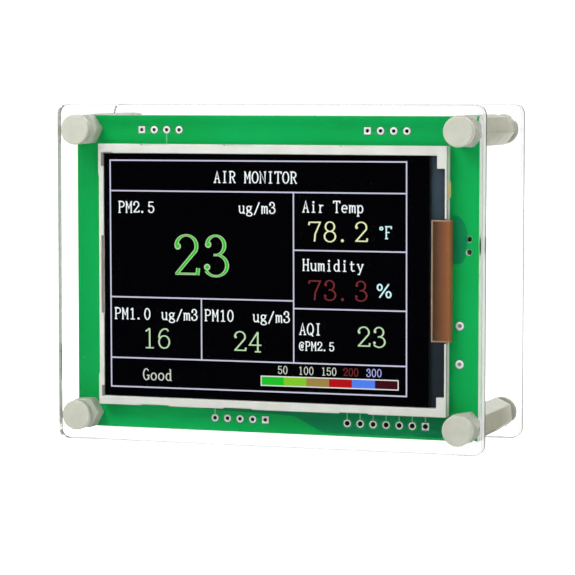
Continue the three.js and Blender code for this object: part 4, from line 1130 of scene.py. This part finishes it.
def add_plug_and_socket(socket_node, plug_node, pins, opening="y"):
    """Wire-to-board connector: an open shell, its pins, and in it a plug with latches or ribs.

    The shell opens away from the board along y, or down along z.
    """
    box, plug = span(socket_node), span(plug_node)
    shell, insert, metal = Piece(), Piece(), Piece()
    wall = 0.6
    pitch = (plug.x1 - plug.x0 - 2 * wall) / max(1, pins - 1)
    pin_places = [plug.x0 + wall + i * pitch for i in range(pins)]
    if opening == "y":
        outer, inner = footprint(box, "xz", 0.2, 3), footprint(box, "xz", 0.12, 3, wall)
        shell.prism([outer], box.y0, box.y0 + 0.8, bevel=0.06, far=0)
        shell.prism([outer, inner], box.y0 + 0.8, box.y1, bevel=0, far=0.1)
        insert.prism([footprint(plug, "xz", 0.15, 3)], plug.y0, plug.y1, bevel=0.12)
        for x in (plug.x0 + 1.0, plug.x1 - 1.0):
            insert.block(x - 0.3, x + 0.3, plug.y0 + 0.4, plug.y1 - 0.3, plug.z1 - 0.02, plug.z1 + 0.22,
                         0.05)
        foot = (BOARD.y1 + 0.01, BOARD.y1 + 0.16, box.z0 - 0.9, box.z0 + 0.1)
    else:
        outer, inner = footprint(box, "xy", 0.2, 3), footprint(box, "xy", 0.12, 3, wall)
        shell.prism([outer, inner], box.z0, box.z1 - 0.9, "z", bevel=0.1, far=0)
        shell.prism([outer], box.z1 - 0.9, box.z1, "z", bevel=0, far=0.06)
        insert.prism([footprint(plug, "xy", 0.15, 3)], plug.z0, plug.z1, "z", bevel=0.12)
        ribs = 7
        for i in range(ribs):
            x = plug.x0 + 1.2 + i * (plug.x1 - plug.x0 - 2.4) / (ribs - 1)
            insert.block(x - 0.12, x + 0.12, plug.y1 - 0.02, plug.y1 + 0.12, plug.z0 + 0.3, plug.z0 + 1.6,
                         0.03)
        foot = (box.y0 + 0.2, box.y0 + 0.4, box.z1 - 0.1, box.z1 + 1.4)
    for x in pin_places:
        metal.block(x - 0.2, x + 0.2, *foot, 0.03)
    shell.done(socket_node + "_shell", WHITE, replaces=[socket_node])
    insert.done(plug_node + "_body", WHITE, replaces=[plug_node])
    metal.done(socket_node + "_pins", STEEL)


def add_cable():
    """Eight separate wires side by side, from the sensor's plug to the board's plug."""
    box, top, low = span("sensor_cable"), span("sensor_plug"), span("cable_plug")
    radius, count = 0.5, 8
    wires = [BLACK_WIRE, RED_WIRE, WHITE_WIRE, YELLOW_WIRE]
    path = [(top.y, box.z1 + 0.2), (top.y, box.z1 - 1.2), (top.y + 3, box.z1 - 4.2),
            (low.y1 + 3.6, low.z + 2.2), (low.y1 + 1.8, low.z), (low.y1 - 0.3, low.z)]
    pitch = (box.x1 - box.x0 - 2 * radius) / (count - 1)
    piece = Piece()
    for i in range(count):
        x = box.x0 + radius + i * pitch
        sway = 0.18 * math.sin(2.4 * i)
        points = [(x, y + sway * math.sin(math.pi * k / 5), z) for k, (y, z) in enumerate(path)]
        piece.tube(spline(points, 7), radius * 0.96, 12, slot=(i * 3) % 4)
    piece.done("sensor_cable_wires", *wires, replaces=["sensor_cable"], slot="cable_sheath")


def add_sensor():
    add_sensor_shell()
    add_fan_housing()
    add_fan_rotor()
    add_plug_and_socket("sensor_socket", "sensor_plug", 8, opening="z")
    add_plug_and_socket("cable_socket", "cable_plug", 8)
    add_cable()
    carry("sensor_pad", FOAM, 0.1)
    carry("sensor_circuit", MASK, 0.04)
    carry("fan_axle", STEEL, 0.1)
    carry("laser_holder", BLACK, 0.2)
    carry("laser_diode", GOLD, 0.1)


# ---------------------------------------------------------------- battery

def add_battery():
    """Pouch cell with crowned faces and folded side seams, its circuit under amber tape, and its leads."""
    cell, circuit = span("battery_cell"), span("battery_circuit")
    piece = Piece()
    columns, rows = 28, 36
    made = {}

    def vertex(side, i, j):
        """A point of the pouch's front or back face. The two faces share their rim."""
        if i in (0, columns) or j in (0, rows):
            side = 0
        if (side, i, j) not in made:
            u, v = 2 * i / columns - 1, 2 * j / rows - 1
            body = (1 - abs(u) ** 14) ** 0.5 * (1 - abs(v) ** 18) ** 0.4
            crown = 0.9 + 0.1 * (1 - u * u) * (1 - v * v)
            wrinkle = 1 - 0.035 * abs(math.sin(3.1 * u + 1.7 * v * v)) * abs(v) ** 6
            half = (cell.y1 - cell.y0) / 2 * body * crown * wrinkle
            place = (cell.x + u * (cell.x1 - cell.x0) / 2, cell.y + side * half,
                     cell.z + v * (cell.z1 - cell.z0) / 2)
            made[side, i, j] = piece.mesh.verts.new(Vector(place) * MM)
        return made[side, i, j]

    for side in (-1, 1):
        grid = [[vertex(side, i, j) for i in range(columns + 1)] for j in range(rows + 1)]
        for low, high in zip(grid, grid[1:]):
            for i in range(columns):
                piece.face((low[i], low[i + 1], high[i + 1], high[i]), 0)
    for x0, x1 in ((cell.x0 + 0.05, cell.x0 + 0.3), (cell.x1 - 0.3, cell.x1 - 0.05)):
        piece.block(x0, x1, cell.y - 1.2, cell.y + 1.7, cell.z0 + 1.0, cell.z1 - 1.0, 0.1)
    piece.done("battery_cell_pouch", FOIL, replaces=["battery_cell"], smooth=70)

    tape = Piece()
    tape.prism([rounded(circuit.y0, circuit.y1, circuit.z0, circuit.z1 + 0.1, 0.8, 5)],
               circuit.x0, circuit.x1, "x", bevel=0.25)
    tape.block(cell.x0 + 0.6, cell.x1 - 0.6, cell.y1 - 0.32, cell.y1 - 0.02, cell.z0 - 0.3, cell.z0 + 3.2,
               0.1)
    tape.done("battery_circuit_tape", AMBER_TAPE, replaces=["battery_circuit"])

    plug = span("battery_plug")
    for name, material, side in (("red", RED_WIRE, -1), ("black", BLACK_WIRE, 1)):
        start_x, end_x = plug.x + side * 2.5 - 4, plug.x + side
        start_y = cell.y0 + 3.1
        path = [(start_x, start_y, circuit.z0 + 0.3), (start_x, start_y, circuit.z0 - 1.8),
                ((start_x + end_x) / 2, start_y + 4, circuit.z0 - 5.2), (end_x, plug.y1 + 2.2, plug.z),
                (end_x, plug.y1 - 0.4, plug.z)]
        lead = Piece()
        lead.tube(spline(path, 8), 0.58, 14)
        lead_node = "battery_lead_" + name
        lead.done(lead_node + "_wire", material, replaces=[lead_node], slot=name + "_wire")
    add_plug_and_socket("battery_socket", "battery_plug", 2)
    carry("battery_pad", FOAM, 0.1)


# ---------------------------------------------------------------- climate sensor, charging socket, button

def add_climate_sensor():
    case, cover = span("climate_sensor_case"), span("climate_sensor_cover")
    y0 = BOARD.y1 + 1.0
    body, leads, lid = Piece(), Piece(), Piece()
    body.block(cover.x0, cover.x1, y0, cover.y1, case.z0, cover.z0 - 0.02, 0.15, corner=0.3)
    body.block(cover.x0 + 0.5, cover.x1 - 0.5, y0, y0 + 1.4, cover.z0 - 0.4, case.z1, 0.1)
    for i in range(4):
        x = HEADER_ROWS[0][0] + i * HEADER_PITCH
        leads.block(x - 0.25, x + 0.25, case.y0, y0 + 1.4, BOARD.z + 26.95, BOARD.z + 27.45, 0.06)
    slots = []
    for row in range(4):
        for column in range(2):
            x, y = cover.x0 + 1.4 + column * 5, y0 + 4 + row * 2.6
            slots.append(rounded(x, x + 4.2, y, y + 1.2, 0.4, 3))
    outline = footprint(cover, "xy", 0.5, 4)
    lid.prism([outline, *slots], cover.z1 - 1.1, cover.z1, "z", bevel=0, far=0.2)
    rim = footprint(cover, "xy", 0.3, 4, wall=0.8)
    lid.prism([outline, rim], cover.z0, cover.z1 - 1.1, "z")
    body.done("climate_sensor_back", WHITE, replaces=["climate_sensor_case"])
    leads.done("climate_sensor_leads", STEEL)
    lid.done("climate_sensor_grille", WHITE, replaces=["climate_sensor_cover"])


def add_charging_socket():
    """Metal shell with four feet, and a tongue with five contacts. Its mouth is at its left end."""
    box, tongue = span("charging_socket_shell"), span("charging_socket_tongue")
    shell, inner, contacts = Piece(), Piece(), Piece()
    wall = 0.28
    outer = fillet([(box.y0, box.z0 + 0.1), (box.y1 - 0.7, box.z0 + 0.1), (box.y1, box.z0 + 0.9),
                    (box.y1, box.z1 - 0.9), (box.y1 - 0.7, box.z1 - 0.1), (box.y0, box.z1 - 0.1)], 0.35, 4)
    bore = inset(outer, wall)
    shell.prism([outer, bore], box.x0, box.x1 - 0.3, "x", bevel=0.06, far=0)
    shell.prism([outer], box.x1 - 0.3, box.x1, "x", bevel=0, far=0.08)
    for z in (box.z0 - 0.5, box.z1 - 0.3):
        for x in (box.x0 + 1.2, box.x1 - 1.6):
            shell.block(x, x + 0.9, box.y0, box.y0 + 0.25, z, z + 0.8, 0.05)
    inner.prism([rounded(box.y - 0.3, box.y + 0.3, box.z - 2.6, box.z + 2.6, 0.12, 3)],
                tongue.x0, tongue.x1, "x", bevel=0.08)
    inner.prism([footprint(tongue, "yz", 0.15, 3)],
                tongue.x1 - 1.3, tongue.x1, "x", bevel=0.05)
    for i in range(5):
        z = box.z - 1.8 + i * 0.9
        contact = rectangle(box.y + 0.28, box.y + 0.36, z - 0.16, z + 0.16)
        contacts.prism([contact], tongue.x0 + 0.4, tongue.x1 - 1.4, "x")
        contacts.block(box.x1 - 0.1, box.x1 + 1.0, box.y0, box.y0 + 0.15, z - 0.14, z + 0.14, 0.03)
    shell.done("charging_socket_case", STEEL, replaces=["charging_socket_shell"])
    inner.done("charging_socket_insert", BLACK, replaces=["charging_socket_tongue"])
    contacts.done("charging_socket_contacts", GOLD)


def add_button():
    """Side button. Its plunger ends in a lip that covers the board's edge, and clears it when pressed."""
    box, plunger = span("button_case"), span("button_plunger")
    y0 = BOARD.y1 + 0.02
    case, cap, metal = Piece(), Piece(), Piece()
    gap = 0.1
    z0, z1 = plunger.z0 - gap, plunger.z1 + gap
    outline = [(box.x0, box.z0), (box.x1, box.z0), (box.x1, z0), (box.x0 + 0.6, z0), (box.x0 + 0.6, z1),
               (box.x1, z1), (box.x1, box.z1), (box.x0, box.z1)]
    case.prism([fillet(outline, 0.1, 2)], y0 + 0.12, box.y1 - 0.12)
    case.block(box.x0, box.x1, y0, y0 + 0.1, box.z0, box.z1, 0.02, corner=0.1)
    for x, dz in PEGS:
        case.lathe([(0, BOARD.y0 + 0.5), (0.28, BOARD.y0 + 0.5), (0.35, BOARD.y0 + 0.62), (0.35, y0 + 0.1),
                    (0, y0 + 0.1)], (x, BOARD.z + dz), sides=20)
    metal.block(box.x0 + 0.1, box.x1 - 0.1, box.y1 - 0.12, box.y1, box.z0 + 0.1, box.z1 - 0.1, 0.04,
                corner=0.2)
    for z in (box.z0 - 0.7, box.z1 - 0.1):
        for x in (box.x0 + 0.3, box.x1 - 1.1):
            metal.block(x, x + 0.8, y0, y0 + 0.2, z, z + 0.8, 0.04)
    lip, neck = BOARD.x1 + BUTTON_TRAVEL + 0.02, plunger.y0 + 0.3
    cap.prism([footprint(plunger, "yz", 0.18, 3)],
              plunger.x0, BOARD.x1 + 0.05, "x", bevel=0.02)
    cap.prism([rounded(plunger.y0, neck, plunger.z0, plunger.z1, 0.1, 3)], BOARD.x1, lip + 0.1, "x")
    cap.prism([rounded(BOARD.y0 - 0.05, neck, plunger.z0, plunger.z1, 0.12, 3)],
              lip, lip + 0.3, "x", bevel=0.03, far=0.06)
    case.done("button_case_body", BLACK, replaces=["button_case"])
    metal.done("button_cover_plate", STEEL)
    cap.done("button_plunger_cap", BLACK, replaces=["button_plunger"], body="button")


# ---------------------------------------------------------------- parts on the board's back

def add_microcontroller():
    box = span("microcontroller")
    y0 = BOARD.y1
    half = 3.5
    body, leads = Piece(), Piece()
    outline = rounded(box.x - half, box.x + half, box.z - half, box.z + half, 0.2, 2)
    body.prism([outline], y0 + 0.15, box.y1, bevel=0.12, far=0.18, steps=1)
    body.lathe([(0, box.y1 + 0.004), (0.32, box.y1 + 0.004), (0.32, box.y1 - 0.02), (0, box.y1 - 0.02)],
               (box.x - 2.6, box.z + 2.6), sides=24, slot=1)
    thick, half_wide, pitch, count = 0.15, 0.13, 0.5, 12
    gull = [(half - 0.3, y0 + 0.85), (half + 0.3, y0 + 0.8), (half + 0.55, y0 + 0.14),
            (half + 1.0, y0 + 0.1)]
    for i in range(count):
        offset = (i - (count - 1) / 2) * pitch
        for way in (1, -1):
            leads.stroke([(box.x + way * r, h) for r, h in gull], thick,
                         box.z + offset - half_wide, box.z + offset + half_wide, axis="z")
            leads.stroke([(h, box.z + way * r) for r, h in gull], thick,
                         box.x + offset - half_wide, box.x + offset + half_wide, axis="x")
    body.done("microcontroller_package", PACKAGE, SILICON, replaces=["microcontroller"])
    leads.done("microcontroller_leads", STEEL)


def add_regulator():
    box = span("voltage_regulator")
    y0 = BOARD.y1
    body, metal = Piece(), Piece()
    body.block(box.x0, box.x1, y0 + 0.1, box.y1, box.z - 1.75, box.z + 1.75, 0.12, corner=0.15)
    metal.block(box.x - 1.5, box.x + 1.5, y0 + 0.02, y0 + 0.3, box.z + 1.6, box.z1, 0.06)
    pitch, thick, half_wide = 2.3, 0.22, 0.35
    bent = [(y0 + 0.8, box.z - 1.6), (y0 + 0.75, box.z - 2.1), (y0 + 0.16, box.z - 2.5), (y0 + 0.12, box.z0)]
    for offset in (-pitch, 0, pitch):
        metal.stroke(bent, thick, box.x + offset - half_wide, box.x + offset + half_wide, axis="x")
    body.done("voltage_regulator_package", PACKAGE, replaces=["voltage_regulator"])
    metal.done("voltage_regulator_leads", STEEL)


def add_inductor():
    box = span("power_inductor")
    y0 = box.y0
    core, coil = Piece(), Piece()
    core.prism([footprint(box, "xz", 0.9, 4)], y0, y0 + 0.8, bevel=0.1)
    core.lathe([(0, y0 + 0.7), (1.6, y0 + 0.7), (1.6, box.y1 - 0.7), (2.7, box.y1 - 0.7),
                (2.7, box.y1 - 0.15), (2.55, box.y1), (0, box.y1)], (box.x, box.z), sides=40)
    for i in range(4):
        y = y0 + 1.0 + i * 0.42
        wire = [(2.1 + 0.22 * math.cos(a), y + 0.2 * math.sin(a)) for a in turns(8, math.tau)[:-1]]
        coil.lathe(wire, (box.x, box.z), sides=40)
    core.done("power_inductor_core", FERRITE, replaces=["power_inductor"])
    coil.done("power_inductor_winding", COPPER_WIRE)


# Small surface-mounted parts on the board's back: place, turned upright or not.
RESISTORS = [(-22.2, 15.6, 0), (-22.2, 13.8, 0), (-22.2, 12.0, 0), (-22.2, 8.6, 1), (6.4, 15.8, 1),
             (8.0, 18.4, 0), (20.6, 15.2, 1), (22.0, 15.2, 1), (36.6, 45.6, 1), (36.6, 48.4, 1),
             (-36.4, 40.4, 0), (-36.4, 44.0, 0), (-1.0, 58.6, 0), (3.4, 58.6, 0), (30.8, 16.0, 0),
             (12.0, 59.4, 1)]
CAPACITORS = [(-10.6, 14.6, 1), (-10.6, 11.4, 1), (-31.2, 7.0, 0), (-22.0, 10.4, 0), (20.6, 11.6, 1),
              (21.2, 18.0, 0), (36.8, 30.6, 1), (36.8, 27.4, 1), (-36.4, 33.0, 0), (8.2, 58.8, 0),
              (13.8, 59.4, 1)]
TRANSISTORS = [(-36.0, 27.4), (36.4, 52.4), (32.6, 16.6)]


def add_small_parts():
    """Chip resistors and capacitors with tinned ends and solder pads, and three-legged transistors."""
    resistors, capacitors, transistors, leads, joints = (Piece() for _ in range(5))
    y0 = BOARD.y1
    tinned, overlap, pad_half = 0.35, 0.05, 0.45
    for places, body, length, width, height in ((RESISTORS, resistors, 1.6, 0.8, 0.45),
                                                (CAPACITORS, capacitors, 2.0, 1.2, 0.9)):
        end = length / 2
        spans = ((-end, tinned - end, joints, 0.02), (end - tinned, end, joints, 0.02),
                 (tinned - overlap - end, end - tinned + overlap, body, 0))
        for x, z, upright in places:
            for start, stop, piece, grow in spans:
                half = width / 2 + grow
                along, across = (start, stop), (-half, half)
                dx, dz = (across, along) if upright else (along, across)
                piece.block(x + dx[0], x + dx[1], y0 + 0.03, y0 + height + grow, z + dz[0], z + dz[1], 0.06)
            for reach in (-0.75 * (end + tinned), 0.75 * (end + tinned)):
                cx, cz = (x, z + reach) if upright else (x + reach, z)
                joints.block(cx - pad_half, cx + pad_half, y0, y0 + 0.07, cz - pad_half, cz + pad_half, 0.03)
    for x, z in TRANSISTORS:
        transistors.block(x - 0.75, x + 0.75, y0 + 0.1, y0 + 1.05, z - 1.45, z + 1.45, 0.12)
        for dx, dz in ((-1.1, -0.95), (-1.1, 0.95), (1.1, 0.0)):
            leads.block(x + dx - 0.35, x + dx + 0.35, y0 + 0.02, y0 + 0.2, z + dz - 0.2, z + dz + 0.2, 0.04)
    resistors.done("chip_resistors", PACKAGE)
    capacitors.done("chip_capacitors", CERAMIC)
    transistors.done("small_transistors", PACKAGE)
    leads.done("small_transistor_leads", STEEL)
    joints.done("solder_joints", TIN)


# ---------------------------------------------------------------- build

for plate in ("front_plate", "rear_plate"):
    add_plate(plate)
for corner in CORNERS:
    add_screw(corner, "front")
    add_screw(corner, "rear")
    add_hex_bar(f"front_spacer_{corner}", SPACER_TURNS[corner], SCREW_HOLE, NYLON)
    add_hex_bar(f"standoff_{corner}", STANDOFF_TURNS[corner], STANDOFF_BORE, SHADED_NYLON)
add_board()
add_copper()
add_back_tracks()
add_display_frame()
add_panes()
add_flex()
add_backlight_tab()
add_picture()
carry("display_light_guide", LIGHT_GUIDE, 0.05)
carry("display_lamp_strip", WHITE, 0.05)
carry("display_driver_chip", SILICON, 0.03)
carry("display_tape", FOAM, 0.05)
add_sensor()
add_battery()
add_climate_sensor()
add_charging_socket()
add_button()
add_microcontroller()
add_regulator()
add_inductor()
add_small_parts()


# ---------------------------------------------------------------- stage, light, camera

def turned_back(tree):
    """1 for a ray that runs toward the camera's side, such as a reflection that left through a plate."""
    incoming = tree.node("NewGeometry")["Incoming"]
    seen = tree.node("VectorTransform", {0: incoming}, vector_type="VECTOR", convert_from="WORLD",
                     convert_to="CAMERA")[0]
    return tree.calc("GREATER_THAN", tree.parts(seen)[2], 0.0)


def add_stage():
    """Pale floor that runs on far enough to meet the pale background.

    It glows to the camera, less so to diffuse rays, and is dark for rays turned back by a plate.
    """
    mesh = bmesh.new()
    half = 6.0
    mesh.faces.new([mesh.verts.new((x, y, 0)) for x, y in square(0, 0, half)])
    data = bpy.data.meshes.new("floor")
    mesh.to_mesh(data)
    mesh.free()
    floor = bpy.data.objects.new("floor", data)
    bpy.context.scene.collection.objects.link(floor)
    tree = Nodes(bpy.data.materials.new("pale_floor"))
    tone = tree.blend(tree.noise(tree.node("TexCoord")["Object"], 6.0), grey(0.90), grey(0.93))
    matte = tree.node("BsdfDiffuse", {"Color": tone})[0]
    path = tree.node("LightPath")
    shown = tree.minus(0.82, tree.times(path["Is Diffuse Ray"], 0.7))
    glow = tree.node("Emission", {"Color": grey(1), "Strength": shown})[0]
    seen = tree.node("AddShader", {0: matte, 1: glow})[0]
    unseen = tree.node("Emission", {"Strength": 0.015})[0]
    mirrored = tree.times(path["Is Transmission Ray"], turned_back(tree))
    data.materials.append(tree.end(tree.mix(mirrored, seen, unseen)))
    floor.visible_glossy = False


def add_world():
    """White behind the object, also through its plates, and softer for shading.

    Reflections see it bright only from above.
    """
    world = bpy.data.worlds.new("studio")
    bpy.context.scene.world = world
    tree = Nodes(world)
    path, coords = tree.node("LightPath"), tree.node("TexCoord")
    up = tree.parts(coords["Generated"])[2]
    ahead = tree.calc("GREATER_THAN", tree.parts(coords["Camera"])[2], -0.35)
    mirrored = tree.spread(up, 0.05, 0.6, 0.004, 0.65)
    sharp = tree.highest(path["Is Glossy Ray"], path["Is Transmission Ray"])
    shading = tree.node("Mix", {0: sharp, 2: 0.54, 3: mirrored})[0]
    behind = tree.times(path["Is Transmission Ray"], ahead)
    seen = tree.highest(path["Is Camera Ray"], behind)
    strength = tree.node("Mix", {0: seen, 2: shading, 3: 1.25})[0]
    tree.end(tree.node("Background", {"Color": grey(1), "Strength": strength})[0], "World")


def add_lamp(name, place, size, power):
    """Square soft box aimed at the middle of the object."""
    data = bpy.data.lights.new(name, "AREA")
    data.size = size
    data.energy = power
    lamp = bpy.data.objects.new(name, data)
    bpy.context.scene.collection.objects.link(lamp)
    lamp.location = place
    lamp.rotation_euler = (Vector((0, 0, 0.03)) - Vector(place)).to_track_quat("-Z", "Y").to_euler()


def add_camera():
    """Seen from the right by 19.3 degrees and from above by 4.2 degrees, with a long lens."""
    yaw, pitch = math.radians(19.255), math.radians(4.186)
    target, distance = Vector((-0.28, -1.4, 29.03)) * MM, 523.2 * MM
    back = Vector((math.sin(yaw) * math.cos(pitch), -math.cos(yaw) * math.cos(pitch), math.sin(pitch)))
    data = bpy.data.cameras.new("camera")
    data.lens = 171.09
    data.sensor_width = 36
    data.clip_start, data.clip_end = 0.05, 50
    camera = bpy.data.objects.new("camera", data)
    bpy.context.scene.collection.objects.link(camera)
    camera.location = target + back * distance
    camera.rotation_mode = "QUATERNION"
    camera.rotation_quaternion = (-back).to_track_quat("-Z", "Y")
    bpy.context.scene.camera = camera


scene = bpy.context.scene
scene.view_settings.view_transform = "Standard"
scene.cycles.max_bounces = 64
scene.cycles.glossy_bounces = 48
scene.cycles.transmission_bounces = 48
scene.cycles.transparent_max_bounces = 24
add_stage()
add_world()
add_lamp("key", (-0.15, -0.26, 0.31), 0.2, 1.0)
add_lamp("fill", (0.75, -0.5, 0.35), 0.6, 1.6)
add_lamp("back", (0.2, 0.8, 0.7), 0.6, 4.0)
add_camera()
